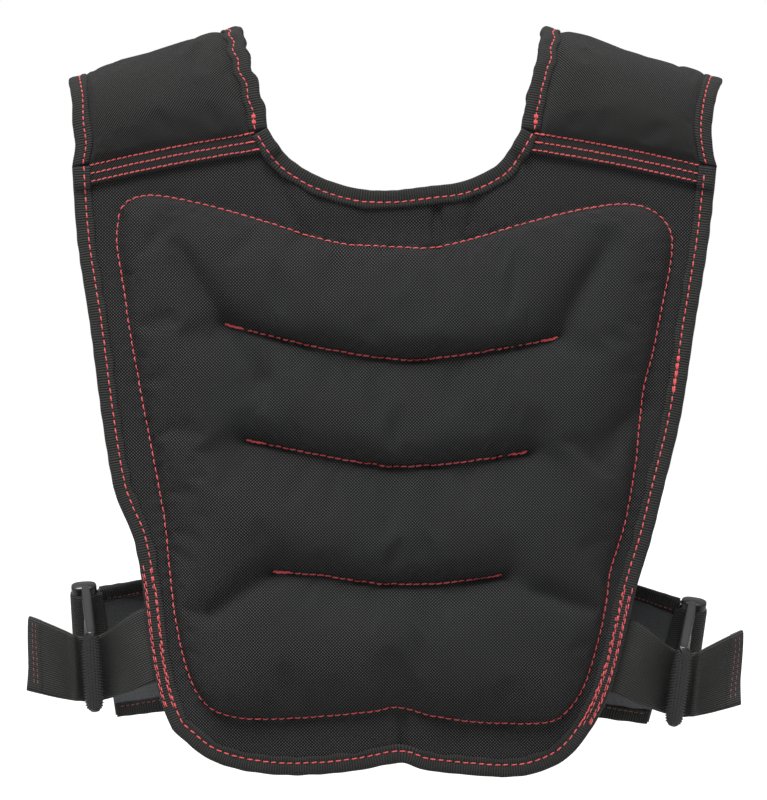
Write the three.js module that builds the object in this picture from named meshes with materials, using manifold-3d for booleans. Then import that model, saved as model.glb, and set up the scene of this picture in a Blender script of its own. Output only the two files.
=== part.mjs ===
// A short padded weighted vest, as it hangs from the shoulders.
// Millimetres, +Z up, the front faces -Y, and the origin is midway between the shoulders, at the
// height where the pads rest on them. Left and right are as seen from the front.
import * as THREE from 'three';
import { mergeVertices } from 'three/addons/utils/BufferGeometryUtils.js';
import Module from 'manifold-3d';

const wasm = await Module();
wasm.setup();

// Overall form of the vest.
const HALF_WIDTH = 218; // from the middle to the armhole edge at the shoulder seam
const DROP = 473; // from the shoulders down to the bottom edge
const HALF_DEPTH = 62; // from the middle plane out to each panel
const WRAP = 22; // how far the sides of a panel come round the body
const LEAN = 14; // how far the top of a panel leans in to the shoulder
const LEAN_START = 200; // how far below the shoulders that lean starts

// Padded panels.
const BORDER = 3; // the sewn-flat edge
const FRONT_FILL = 20; // how far the filled chambers stand out of the front
const INNER_FILL = 8; // and how far they stand in towards the body
const BACK_FILL = 14; // the hidden back panel's chambers
const FILL_RAMP = 44; // distance from the pocket's stitching to its full height
const QUILT_RAMP = 30; // distance from a quilt line to the full height
const QUILT_KEEP = 0.22; // share of the height that is left at a quilt line
const BACK_INSET = 4; // how much smaller the back panel is all round

// Edge binding.
const TAPE = 1.2; // thickness of the ribbed tape
const TAPE_LEG = 11; // how far it reaches in over a panel or pad
const CLEAR = 0.4; // clearance between sewn pieces

// Shoulder pads.
const PAD_EDGE = 2.6; // thickness at a pad's edges and hems
const PAD_FILL = 7; // how much thicker its middle is
const HEM = 15; // how far a pad laps over a panel, with three rows of stitching
const TOP_OUTER = -5; // height of a pad's top at the armhole
const TOP_INNER = 30; // and at the neck

// Side wings, which come forward from the back panel.
const WING_THICK = 5;
const WING_EDGE = 3;
const WING_LEG = 8; // width of the tape on the wings' edges
const WING_LAP = 14; // how far a wing is sewn in under the back panel's edge

// Webbing and slide buckles.
const WEB_WIDTH = 50;
const WEB_THICK = 2;
const WEB_LAP = 16; // how far the webbing is sewn in under the front panel's edge
const TAIL_HEM = 8; // length of the folded hem at the webbing's free end
const SLIDE_PITCH = 66; // between the two knurled bars
const SLIDE_LENGTH = 62; // along the bars
const BAR_THICK = 12; // across the slide's plane
const BAR_DEEP = 9; // in the slide's plane
const MIDDLE_BAR = 5;
const RAIL_WIDE = 5;
const RAIL_THICK = 6;
const SLIDE_PITCHED = THREE.MathUtils.degToRad(28); // the near bar hangs lower
const SLIDE_YAW = THREE.MathUtils.degToRad(3.5); // the far bar stands further out
const WING_TILT = THREE.MathUtils.degToRad(22); // a wing's end leans with its slide

// Colours, from the photo.
const CLOTH = { color: 0x2d2d2d, roughness: 0.9, metalness: 0 };
const PAD_CLOTH = { color: 0x3c3c3a, roughness: 0.92, metalness: 0 };
const TAPE_CLOTH = { color: 0x2b2b2b, roughness: 0.85, metalness: 0 };
const LINING = { color: 0x303234, roughness: 0.75, metalness: 0 };
const WEBBING = { color: 0x2e2e2d, roughness: 0.8, metalness: 0 };
const PLASTIC = { color: 0x1e1e1f, roughness: 0.45, metalness: 0 };

// Turns rows of numbers into rows with named columns.
function table(columns, rows) {
  const names = columns.split(' ');
  return rows.map((row) => Object.fromEntries(names.map((name, i) => [name, row[i]])));
}

// Outline of the front, in shares of HALF_WIDTH across and of DROP down.
const LEFT_EDGE = table('across down', [
  [-0.673, 0.934], [-0.706, 0.897], [-0.731, 0.848], [-0.749, 0.794], [-0.765, 0.73], [-0.792, 0.665],
  [-0.829, 0.624], [-0.856, 0.588], [-0.891, 0.49], [-0.927, 0.362], [-0.966, 0.244], [-0.983, 0.138],
]);
const RIGHT_EDGE = table('across down', [
  [0.618, 0.928], [0.653, 0.897], [0.691, 0.848], [0.719, 0.794], [0.752, 0.73], [0.795, 0.665],
  [0.833, 0.594], [0.887, 0.49], [0.93, 0.362], [0.972, 0.244], [0.998, 0.138],
]);
const BOTTOM_EDGE = table('across down', [
  [-0.673, 0.934], [-0.636, 0.949], [-0.569, 0.973], [-0.474, 0.989], [-0.346, 0.997], [-0.217, 0.996],
  [-0.098, 0.99], [0.026, 0.98], [0.101, 0.99], [0.235, 0.997], [0.346, 1], [0.428, 0.996],
  [0.508, 0.982], [0.563, 0.962], [0.618, 0.928],
]);
const NECK_EDGE = table('across down', [
  [-0.382, 0.083], [-0.358, 0.101], [-0.312, 0.127], [-0.229, 0.151], [-0.119, 0.168], [-0.012, 0.172],
  [0.11, 0.166], [0.217, 0.159], [0.315, 0.138], [0.358, 0.115], [0.398, 0.083],
]);

// The stitched outline of the filled pocket, and the quilt lines that part it into chambers.
const POCKET = table('across down', [
  [-0.83, 0.2], [-0.715, 0.185], [-0.547, 0.197], [-0.361, 0.217], [-0.141, 0.252], [0.119, 0.258],
  [0.312, 0.238], [0.547, 0.204], [0.746, 0.197], [0.853, 0.235], [0.829, 0.302], [0.777, 0.44],
  [0.74, 0.55], [0.661, 0.692], [0.63, 0.783], [0.563, 0.879], [0.471, 0.921], [0.18, 0.917],
  [0.034, 0.901], [-0.098, 0.907], [-0.474, 0.913], [-0.602, 0.87], [-0.658, 0.773], [-0.697, 0.623],
  [-0.771, 0.439], [-0.841, 0.256],
]);
const QUILT_LINES = [
  table('across down', [[-0.511, 0.361], [-0.309, 0.385], [-0.141, 0.401], [0.028, 0.411], [0.144, 0.408],
    [0.511, 0.38]]),
  table('across down', [[-0.446, 0.524], [-0.193, 0.548], [0.024, 0.562], [0.419, 0.541]]),
  table('across down', [[-0.364, 0.71], [-0.217, 0.715], [-0.012, 0.727], [0.116, 0.727], [0.339, 0.715]]),
];

// Lasting folds and dents: a straight valley from one point to another.
// Depth is a share of FRONT_FILL and width a share of QUILT_RAMP.
const FOLDS = table('across down toAcross toDown depth width', [
  [-0.69, 0.244, -0.41, 0.438, 0.32, 0.4],
  [0.67, 0.249, 0.53, 0.362, 0.36, 0.45],
  [-0.364, 0.71, -0.55, 0.769, 0.3, 0.34],
  [0.456, 0.738, 0.609, 0.759, 0.26, 0.3],
  [0.77, 0.475, 0.63, 0.55, 0.28, 0.34],
  [0.034, 0.98, 0.034, 0.9, 0.25, 0.3],
  [0.15, 0.263, 0.138, 0.193, 0.3, 0.25],
  [-0.281, 0.23, -0.358, 0.172, 0.25, 0.25],
]);

// The pads' edges over the arch, in shares of HALF_WIDTH across. The turn is 0 at the front hem, 0.5 on top.
const PAD_EDGES = table('turn leftOuter leftInner rightInner rightOuter', [
  [0, -0.983, -0.382, 0.398, 0.998],
  [0.1, -0.974, -0.398, 0.414, 0.981],
  [0.24, -0.985, -0.437, 0.445, 0.992],
  [0.37, -0.992, -0.455, 0.457, 1.007],
  [0.5, -0.995, -0.468, 0.462, 1.018],
]);

// Side wings: where they leave the panel's edge and where they end, in the same shares.
const WINGS = table('name hand topDown bottomDown endTopOut endTopDown endBottomOut endBottomDown', [
  ['left', -1, 0.725, 0.908, 0.91, 0.738, 0.858, 0.918],
  ['right', 1, 0.73, 0.917, 0.895, 0.755, 0.798, 0.928],
]);

// Slide buckles: the middle of each, in the same shares, and how many degrees its top leans outwards.
const SLIDES = table('name hand out down roll', [
  ['left', -1, 0.9335, 0.8205, 4.4],
  ['right', 1, 0.9, 0.842, 9],
]);

// Webbing: its height at the panel's edge and the place of its free end, in the same shares.
// A lean is how far its upper edge stands out for each unit of its width.
const STRAPS = table('name hand down lean tailOut tailDown tailLean', [
  ['left', -1, 0.815, 0.149, 1.119, 0.827, -0.1],
  ['right', 1, 0.83, 0.295, 1.075, 0.847, -0.047],
]);

// How finely the cloth is divided.
const SEAM_COLUMNS = 5;
const NECK_COLUMNS = 12;
const PANEL_ROWS = 20;
const EDGE_CELL = 1.7; // how much wider a panel's outermost cells are
const PAD_COLUMNS = 8;
const PAD_ROWS = 14;
const WING_COLUMNS = 7;
const WING_ROWS = 5;
const STRAP_ROWS = 14;
const BAR_SIDES = 12;

// A point of the front view from a row of shares.
function flatPoint(row) {
  return new THREE.Vector2(row.across * HALF_WIDTH, -row.down * DROP);
}

// Evenly spaced points along the smooth curve through a table's rows.
function curvePoints(rows, count) {
  return new THREE.SplineCurve(rows.map(flatPoint)).getSpacedPoints(count);
}

// Shares along a panel's edge, with a wider cell at each end for the flat margin under the binding.
function panelShares(count) {
  const margin = EDGE_CELL - 1;
  const inner = Array.from({ length: count - 1 }, (_, i) => (i + 1 + margin) / (count + 2 * margin));
  return [0, ...inner, 1];
}

function edgePoints(rows, count) {
  const curve = new THREE.SplineCurve(rows.map(flatPoint));
  return panelShares(count).map((share) => curve.getPointAt(share));
}

// How far the front panel's middle surface lies from the middle plane.
function panelDepth(x, z) {
  const lean = THREE.MathUtils.smoothstep(z, -LEAN_START, 0);
  return HALF_DEPTH - WRAP * (x / HALF_WIDTH) ** 2 - LEAN * lean;
}

// Distance from a point to an open or closed line of points.
function distanceTo(line, x, z, closed) {
  let best = Infinity;
  const last = closed ? line.length : line.length - 1;
  for (let i = 0; i < last; i += 1) {
    const a = line[i];
    const b = line[(i + 1) % line.length];
    const abx = b.x - a.x;
    const abz = b.y - a.y;
    const along = ((x - a.x) * abx + (z - a.y) * abz) / (abx * abx + abz * abz);
    const t = THREE.MathUtils.clamp(along, 0, 1);
    best = Math.min(best, Math.hypot(x - a.x - t * abx, z - a.y - t * abz));
  }
  return best;
}

function isInside(loop, x, z) {
  let inside = false;
  for (let i = 0, j = loop.length - 1; i < loop.length; j = i, i += 1) {
    const a = loop[i];
    const b = loop[j];
    if ((a.y > z) !== (b.y > z) && x < ((b.x - a.x) * (z - a.y)) / (b.y - a.y) + a.x) inside = !inside;
  }
  return inside;
}

// Height of a full, round-shouldered bulge at a distance from its seam.
function bulge(distance, ramp) {
  const rest = 1 - Math.min(distance / ramp, 1);
  return Math.sqrt(1 - rest * rest);
}

const pocketLoop = curvePoints([...POCKET, POCKET[0]], 90).slice(0, -1);
const quiltCurves = QUILT_LINES.map((rows) => curvePoints(rows, 16));

// Share of the full height of the filling at a point of a panel.
function fillShare(x, z) {
  if (!isInside(pocketLoop, x, z)) return 0;
  let share = bulge(distanceTo(pocketLoop, x, z, true), FILL_RAMP);
  for (const line of quiltCurves) {
    share *= QUILT_KEEP + (1 - QUILT_KEEP) * bulge(distanceTo(line, x, z, false), QUILT_RAMP);
  }
  for (const fold of FOLDS) {
    const valley = [flatPoint(fold), flatPoint({ across: fold.toAcross, down: fold.toDown })];
    const away = distanceTo(valley, x, z, false) / (fold.width * QUILT_RAMP);
    share -= fold.depth * share * Math.exp(-away * away);
  }
  return Math.max(share, 0);
}

// A loop of points moved inwards, each stretch between two points by its own distance.
function insetLoop(points, distances) {
  const count = points.length;
  const normals = points.map((point, i) => {
    const next = points[(i + 1) % count];
    return new THREE.Vector2(point.y - next.y, next.x - point.x).normalize();
  });
  return points.map((point, i) => {
    const before = (i + count - 1) % count;
    const a = normals[before];
    const b = normals[i];
    const turn = a.x * b.y - a.y * b.x;
    if (Math.abs(turn) < 0.2) {
      const reach = (distances[before] + distances[i]) / 2;
      return a.clone().add(b).normalize().multiplyScalar(reach).add(point);
    }
    const x = (distances[before] * b.y - distances[i] * a.y) / turn;
    const y = (distances[i] * a.x - distances[before] * b.x) / turn;
    return new THREE.Vector2(point.x + x, point.y + y);
  });
}

// The four sides of a panel's edge, inside its binding. The seams keep their place under the pads.
function panelSides(inset) {
  const seamLeft = flatPoint(LEFT_EDGE.at(-1));
  const seamRight = flatPoint(RIGHT_EDGE.at(-1));
  const neck = curvePoints(NECK_EDGE, NECK_COLUMNS);
  const across = SEAM_COLUMNS * 2 + NECK_COLUMNS;
  const top = [];
  const seamShare = (i) => (i === 0 ? 0 : i + EDGE_CELL - 1) / (SEAM_COLUMNS + EDGE_CELL - 1);
  for (let i = 0; i < SEAM_COLUMNS; i += 1) top.push(seamLeft.clone().lerp(neck[0], seamShare(i)));
  top.push(...neck);
  for (let i = SEAM_COLUMNS - 1; i >= 0; i -= 1) top.push(seamRight.clone().lerp(neck.at(-1), seamShare(i)));
  const bottom = edgePoints(BOTTOM_EDGE, across);
  const left = edgePoints(LEFT_EDGE, PANEL_ROWS);
  const right = edgePoints(RIGHT_EDGE, PANEL_ROWS);
  const loop = [...bottom.slice(0, -1), ...right.slice(0, -1), ...top.slice(1).reverse(), ...left.slice(1).reverse()];
  const seamStart = across + PANEL_ROWS;
  const distances = loop.map((_, i) => {
    const along = i - seamStart;
    const onTop = along >= 0 && along < across;
    const onNeck = along >= SEAM_COLUMNS && along < SEAM_COLUMNS + NECK_COLUMNS;
    return onTop && !onNeck ? 0 : inset;
  });
  const moved = insetLoop(loop, distances);
  const part = (from, count) => Array.from({ length: count + 1 }, (_, i) => moved[(from + i) % moved.length]);
  return {
    bottom: part(0, across),
    right: part(across, PANEL_ROWS),
    top: part(seamStart, across).reverse(),
    left: part(seamStart + across, PANEL_ROWS).reverse(),
  };
}

// Grid of points inside four sides, each row running left to right.
function patch({ bottom, right, top, left }) {
  const rows = left.length - 1;
  const columns = bottom.length - 1;
  const across = panelShares(columns);
  const up = panelShares(rows);
  return left.map((leftPoint, j) => bottom.map((bottomPoint, i) => {
    const u = across[i];
    const v = up[j];
    const mix = (axis) => (1 - v) * bottomPoint[axis] + v * top[i][axis]
      + (1 - u) * leftPoint[axis] + u * right[j][axis]
      - (1 - u) * (1 - v) * bottom[0][axis] - u * (1 - v) * bottom[columns][axis]
      - (1 - u) * v * top[0][axis] - u * v * top[columns][axis];
    return new THREE.Vector2(mix('x'), mix('y'));
  }));
}

// A closed solid between two grids of points, with a rim all round.
function sheetSolid(outer, inner) {
  const rows = outer.length;
  const columns = outer[0].length;
  const positions = [...outer.flat(), ...inner.flat()].flatMap((point) => point.toArray());
  const index = [];
  const far = rows * columns;
  const at = (j, i) => j * columns + i;
  const quad = (a, b, c, d) => index.push(a, b, c, a, c, d);
  for (let j = 0; j < rows - 1; j += 1) {
    for (let i = 0; i < columns - 1; i += 1) {
      quad(at(j, i), at(j, i + 1), at(j + 1, i + 1), at(j + 1, i));
      quad(far + at(j, i), far + at(j + 1, i), far + at(j + 1, i + 1), far + at(j, i + 1));
    }
    quad(at(j, 0), at(j + 1, 0), far + at(j + 1, 0), far + at(j, 0));
    quad(at(j + 1, columns - 1), at(j, columns - 1), far + at(j, columns - 1), far + at(j + 1, columns - 1));
  }
  for (let i = 0; i < columns - 1; i += 1) {
    quad(at(0, i + 1), at(0, i), far + at(0, i), far + at(0, i + 1));
    quad(at(rows - 1, i), at(rows - 1, i + 1), far + at(rows - 1, i + 1), far + at(rows - 1, i));
  }
  return orientedGeometry(positions, index);
}

// A geometry whose faces all point out.
function orientedGeometry(positions, index) {
  const corner = (i) => new THREE.Vector3().fromArray(positions, index[i] * 3);
  let volume = 0;
  for (let i = 0; i < index.length; i += 3) volume += corner(i).dot(corner(i + 1).cross(corner(i + 2)));
  const facing = volume > 0 ? index : index.toReversed();
  const geometry = new THREE.BufferGeometry();
  geometry.setAttribute('position', new THREE.Float32BufferAttribute(positions, 3));
  geometry.setIndex(facing);
  geometry.computeVertexNormals();
  return geometry;
}

function piece(name, geometry, finish) {
  const mesh = new THREE.Mesh(geometry, new THREE.MeshStandardMaterial(finish));
  mesh.name = name;
  return mesh;
}

// A panel on its side of the body: facing is -1 for the front and 1 for the back.
// The outermost ring of cells stays flat, under the binding.
function panel(name, facing, inset, outFill) {
  const grid = patch(panelSides(inset));
  const surface = (thickness, fill) => grid.map((row, j) => row.map(({ x, y: z }, i) => {
    const isFlat = i < 2 || j < 2 || i > row.length - 3 || j > grid.length - 3;
    const out = panelDepth(x, z) + thickness + (isFlat ? 0 : fill * fillShare(x, z));
    return new THREE.Vector3(x, facing * out, z);
  }));
  return piece(name, sheetSolid(surface(BORDER / 2, outFill), surface(-BORDER / 2, -INNER_FILL)), CLOTH);
}

// Binding tape folded over an edge. Each station has the edge's point, the directions inwards along
// the cloth and out of its face, and how far each face of what it binds lies from the point.
function binding(name, stations, leg) {
  const sections = stations.map(({ edge, inward, out, outFace, inFace }) => {
    const place = (reach, height) => edge.clone().addScaledVector(inward, reach).addScaledVector(out, height);
    const middle = (outFace - inFace) / 2;
    return {
      outer: [
        place(leg, outFace + TAPE), place(-CLEAR, outFace + TAPE), place(-CLEAR - TAPE, middle),
        place(-CLEAR, -inFace - TAPE), place(leg, -inFace - TAPE),
      ],
      inner: [
        place(leg, outFace), place(-CLEAR, outFace), place(-CLEAR, middle), place(-CLEAR, -inFace), place(leg, -inFace),
      ],
    };
  });
  return piece(name, sheetSolid(sections.map((s) => s.outer), sections.map((s) => s.inner)), TAPE_CLOTH);
}

// Height of the top of a panel's seam, and of the pad's lower edge, a hem's length below it.
function seamTop(x) {
  const inner = flatPoint(x < 0 ? NECK_EDGE[0] : NECK_EDGE.at(-1));
  const outer = flatPoint(x < 0 ? LEFT_EDGE.at(-1) : RIGHT_EDGE.at(-1));
  return THREE.MathUtils.mapLinear(x, outer.x, inner.x, outer.y, inner.y);
}

// Binding of a panel's edge. The points run along the edge, with the panel on their left.
// Near the shoulders the pad's hem lies on the panel, and the tape covers both.
function panelBinding(name, facing, edge) {
  const last = edge.length - 1;
  const stations = edge.map((point, i) => {
    const before = edge[Math.max(i - 1, 0)];
    const after = edge[Math.min(i + 1, last)];
    const along = after.clone().sub(before).normalize();
    const onCloth = (reach) => {
      const x = point.x - along.y * reach;
      const z = point.y + along.x * reach;
      return new THREE.Vector3(x, facing * panelDepth(x, z), z);
    };
    const step = Math.min(i, last - i) < 3 ? after.distanceTo(before) / 2 : 0;
    const underPad = step > 0 && point.y > seamTop(point.x) - HEM - step;
    return {
      edge: onCloth(0),
      inward: onCloth(TAPE_LEG).sub(onCloth(0)).divideScalar(TAPE_LEG),
      out: new THREE.Vector3(0, facing, 0),
      outFace: BORDER / 2 + CLEAR + (underPad ? CLEAR + PAD_EDGE : 0),
      inFace: BORDER / 2 + CLEAR,
    };
  });
  return binding(name, stations, TAPE_LEG);
}

function panelBindings(name, facing, inset) {
  const sides = panelSides(inset);
  const around = [...sides.left.toReversed(), ...sides.bottom.slice(1), ...sides.right.slice(1)];
  const neck = sides.top.slice(SEAM_COLUMNS, SEAM_COLUMNS + NECK_COLUMNS + 1).reverse();
  return [
    panelBinding(`${name}_binding`, facing, around),
    panelBinding(`${name}_neck_binding`, facing, neck),
  ];
}

// Where a line of points that runs down from the seam crosses the pad's lower edge.
function hemCrossing(points) {
  for (let i = 0; i < points.length - 1; i += 1) {
    const above = points[i].y - seamTop(points[i].x) + HEM;
    const below = points[i + 1].y - seamTop(points[i + 1].x) + HEM;
    if (above >= 0 && below < 0) return points[i].clone().lerp(points[i + 1], above / (above - below));
  }
  return points[1];
}

// Share across the vest of a pad's edge at a turn over the arch, from 0 to 1.
function padEdge(key, turn) {
  const t = Math.min(turn, 1 - turn);
  const upper = Math.max(PAD_EDGES.findIndex((row) => row.turn >= t), 1);
  const a = PAD_EDGES[upper - 1];
  const b = PAD_EDGES[upper];
  return THREE.MathUtils.mapLinear(t, a.turn, b.turn, a[key], b[key]);
}

// The middle surface of a shoulder pad: rows run from the front hem over the arch to the back hem,
// and columns from the armhole to the neck.
function padSurface(hand, frontSides, backSides) {
  const side = hand < 0 ? 'left' : 'right';
  const onPanel = (point, facing) => {
    const out = panelDepth(point.x, point.y) + BORDER / 2 + CLEAR + PAD_EDGE / 2;
    return new THREE.Vector3(point.x, facing * out, point.y);
  };
  const hemEnds = (sides) => {
    const arm = hand < 0 ? sides.left.toReversed() : sides.right.toReversed();
    const neck = sides.top.slice(SEAM_COLUMNS, SEAM_COLUMNS + NECK_COLUMNS + 1);
    const inner = hand < 0 ? neck : neck.toReversed();
    return { top: [arm[0], inner[0]], low: [hemCrossing(arm), hemCrossing(inner)] };
  };
  const row = (ends, facing) => Array.from({ length: PAD_COLUMNS + 1 }, (_, i) => (
    onPanel(ends[0].clone().lerp(ends[1], i / PAD_COLUMNS), facing)));
  const front = hemEnds(frontSides);
  const back = hemEnds(backSides);
  const frontTop = row(front.top, -1);
  const backTop = row(back.top, 1);
  const arch = [];
  for (let j = 1; j < PAD_ROWS; j += 1) {
    const turn = j / PAD_ROWS;
    const rise = Math.sin(Math.PI * turn);
    const swing = (1 - Math.cos(Math.PI * turn)) / 2;
    const outerX = padEdge(`${side}Outer`, turn) * HALF_WIDTH - hand * (TAPE + CLEAR);
    const innerX = padEdge(`${side}Inner`, turn) * HALF_WIDTH + hand * (TAPE + CLEAR);
    arch.push(frontTop.map((start, i) => {
      const share = i / PAD_COLUMNS;
      const foot = start.clone().lerp(backTop[i], swing);
      const top = THREE.MathUtils.lerp(TOP_OUTER, TOP_INNER, share) - PAD_EDGE;
      const x = THREE.MathUtils.lerp(outerX, innerX, share);
      return new THREE.Vector3(x, foot.y, foot.z + (top - foot.z) * rise);
    }));
  }
  return [row(front.low, -1), frontTop, ...arch, backTop, row(back.low, 1)];
}

// The direction out of a grid's face at each of its points.
function gridNormals(grid, flip) {
  const rows = grid.length - 1;
  const columns = grid[0].length - 1;
  return grid.map((row, j) => row.map((_, i) => {
    const across = row[Math.min(i + 1, columns)].clone().sub(row[Math.max(i - 1, 0)]);
    const along = grid[Math.min(j + 1, rows)][i].clone().sub(grid[Math.max(j - 1, 0)][i]);
    return across.cross(along).multiplyScalar(flip).normalize();
  }));
}

// A solid of a given half thickness on each face of a grid.
function thickSolid(grid, normals, halfOut, halfIn) {
  const moved = (reach) => grid.map((row, j) => row.map((point, i) => (
    point.clone().addScaledVector(normals[j][i], reach(j, i)))));
  return sheetSolid(moved(halfOut), moved((j, i) => -halfIn(j, i)));
}

// Binding along one edge of a grid, from the edge's points and the points one cell further in.
// Its ends stop just short of the edge's own.
function gridBinding(name, edge, next, outs, face, leg) {
  const last = edge.length - 1;
  const short = (from, to) => edge[to].clone().sub(edge[from]).setLength(3 * CLEAR).add(edge[from]);
  const stations = edge.map((point, i) => {
    const inward = next[i].clone().sub(point).normalize();
    const place = i === 0 ? short(0, 1) : point;
    return { edge: i === last ? short(last, last - 1) : place, inward, out: outs[i], outFace: face, inFace: face };
  });
  return binding(name, stations, leg);
}

function shoulderPad(side, hand, frontSides, backSides) {
  const grid = padSurface(hand, frontSides, backSides);
  const normals = gridNormals(grid, -hand);
  const last = grid.length - 1;
  for (const row of [0, 1]) normals[row].forEach((normal) => normal.set(0, -1, 0));
  for (const row of [last - 1, last]) normals[row].forEach((normal) => normal.set(0, 1, 0));
  const fill = (share) => (j, i) => {
    const isFlat = i < 2 || i > PAD_COLUMNS - 2 || j < 2 || j > last - 2;
    const across = Math.sin(Math.PI * (i / PAD_COLUMNS));
    return PAD_EDGE / 2 + (isFlat ? 0 : share * PAD_FILL * across);
  };
  const tape = (name, edgeColumn, nextColumn) => {
    const column = (rows, i) => rows.slice(1, last).map((row) => row[i]);
    const outs = column(normals, edgeColumn);
    return gridBinding(name, column(grid, edgeColumn), column(grid, nextColumn), outs, PAD_EDGE / 2 + CLEAR, TAPE_LEG);
  };
  return [
    piece(`shoulder_pad_${side}`, thickSolid(grid, normals, fill(0.6), fill(0.4)), PAD_CLOTH),
    tape(`shoulder_arm_binding_${side}`, 0, 1),
    tape(`shoulder_neck_binding_${side}`, PAD_COLUMNS, PAD_COLUMNS - 1),
  ];
}

// Where a panel's side edge lies at a height.
function edgeAcross(points, z) {
  const i = points.findIndex((point) => point.y > z);
  const a = points[i - 1];
  const b = points[i];
  return THREE.MathUtils.mapLinear(z, a.y, b.y, a.x, b.x);
}

// A slide's own directions: across its plane, from the near bar to the far one, and up its bars.
function slideFrame({ hand, out, down, roll }) {
  const turn = new THREE.Matrix4().makeRotationY(hand * THREE.MathUtils.degToRad(roll))
    .multiply(new THREE.Matrix4().makeRotationZ(-hand * SLIDE_YAW))
    .multiply(new THREE.Matrix4().makeRotationX(SLIDE_PITCHED));
  const matrix = turn.setPosition(hand * out * HALF_WIDTH, 0, -down * DROP);
  return {
    matrix,
    at: (x, y, z) => new THREE.Vector3(x, y, z).applyMatrix4(matrix),
    up: new THREE.Vector3(0, 0, 1).transformDirection(matrix),
  };
}

// A bar or frame as a solid that booleans can join.
function solidOf(geometry) {
  const bare = geometry.index ? geometry.toNonIndexed() : geometry;
  bare.deleteAttribute('uv');
  bare.deleteAttribute('normal');
  const merged = mergeVertices(bare, 1e-4);
  return new wasm.Manifold(new wasm.Mesh({
    numProp: 3,
    vertProperties: Float32Array.from(merged.attributes.position.array),
    triVerts: Uint32Array.from(merged.index.array),
  }));
}

// A moulded slide: two barrel-shaped outer bars and a thin middle one, joined by end rails.
function slideBuckle(side, frame) {
  const halfLength = SLIDE_LENGTH / 2;
  const barrel = table('along radius', [[-1, 0], [-1, 0.7], [-0.8, 0.88], [-0.4, 0.98], [0, 1], [0.4, 0.98],
    [0.8, 0.88], [1, 0.7], [1, 0]]);
  const profile = barrel.map(({ along, radius }) => new THREE.Vector2(radius / 2, along * halfLength));
  const bar = new THREE.LatheGeometry(profile, BAR_SIDES).rotateX(Math.PI / 2).scale(BAR_THICK, BAR_DEEP, 1);
  const middle = new THREE.CylinderGeometry(MIDDLE_BAR / 2, MIDDLE_BAR / 2, SLIDE_LENGTH - RAIL_WIDE, 8)
    .rotateX(Math.PI / 2);
  const halfPitch = SLIDE_PITCH / 2;
  const rail = () => new THREE.BoxGeometry(RAIL_THICK, SLIDE_PITCH, RAIL_WIDE);
  const parts = [
    bar.clone().translate(0, -halfPitch, 0),
    bar.clone().translate(0, halfPitch, 0),
    middle,
    rail().translate(0, 0, halfLength - RAIL_WIDE / 2),
    rail().translate(0, 0, -halfLength + RAIL_WIDE / 2),
  ];
  const joined = parts.map(solidOf).reduce((whole, part) => whole.add(part)).getMesh();
  const geometry = new THREE.BufferGeometry();
  geometry.setAttribute('position', new THREE.Float32BufferAttribute(joined.vertProperties, 3));
  geometry.setIndex(Array.from(joined.triVerts));
  geometry.computeVertexNormals();
  const mesh = piece(`slide_buckle_${side}`, geometry, PLASTIC);
  mesh.applyMatrix4(frame.matrix);
  return mesh;
}

// How far inside a panel's middle surface something sewn under its binding lies.
function underBinding(half) {
  return BORDER / 2 + CLEAR + TAPE + CLEAR + half;
}

// A side wing: a flat band from under the back panel's edge to the slide's far bar.
function sideWing(row, sides, frame) {
  const { name, hand } = row;
  const panelEdge = hand < 0 ? sides.left : sides.right;
  const far = frame.at(0, SLIDE_PITCH / 2, 0);
  const line = (edgeDown, endOut, endDown) => {
    const z = -edgeDown * DROP;
    const edgeX = edgeAcross(panelEdge, z);
    const end = new THREE.Vector3(hand * endOut * HALF_WIDTH, far.y, -endDown * DROP);
    end.y += (far.z - end.z) * Math.tan(WING_TILT);
    const lap = WING_LAP / (WING_LAP + Math.abs(end.x - edgeX));
    return Array.from({ length: WING_COLUMNS + 1 }, (_, i) => {
      const t = i / WING_COLUMNS;
      const x = THREE.MathUtils.lerp(edgeX - hand * WING_LAP, end.x, t);
      const height = THREE.MathUtils.lerp(z, end.z, Math.max(t - lap, 0) / (1 - lap));
      const start = panelDepth(x, height) - underBinding(WING_THICK / 2 + TAPE);
      return new THREE.Vector3(x, THREE.MathUtils.lerp(start, end.y, THREE.MathUtils.smoothstep(t, lap, 1)), height);
    });
  };
  const top = line(row.topDown, row.endTopOut, row.endTopDown);
  const bottom = line(row.bottomDown, row.endBottomOut, row.endBottomDown);
  const grid = Array.from({ length: WING_ROWS + 1 }, (_, j) => (
    top.map((point, i) => point.clone().lerp(bottom[i], j / WING_ROWS))));
  const normals = gridNormals(grid, hand);
  const half = (j) => (j < 2 || j > WING_ROWS - 2 ? WING_EDGE : WING_THICK) / 2;
  const tape = (tapeName, edgeRow, nextRow) => (
    gridBinding(tapeName, grid[edgeRow], grid[nextRow], normals[edgeRow], WING_EDGE / 2 + 2 * CLEAR, WING_LEG));
  const endLine = grid.map((points) => points.at(-1));
  return {
    endLine,
    meshes: [
      piece(`side_wing_${name}`, thickSolid(grid, normals, half, half), LINING),
      tape(`wing_top_binding_${name}`, 0, 1),
      tape(`wing_bottom_binding_${name}`, WING_ROWS, WING_ROWS - 1),
    ],
  };
}

// A point of a wing's end at a height.
function onEndLine(endLine, z) {
  const i = Math.max(endLine.findIndex((point) => point.z < z), 1);
  const a = endLine[i - 1];
  const b = endLine[i];
  return a.clone().lerp(b, (z - a.z) / (b.z - a.z));
}

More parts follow.
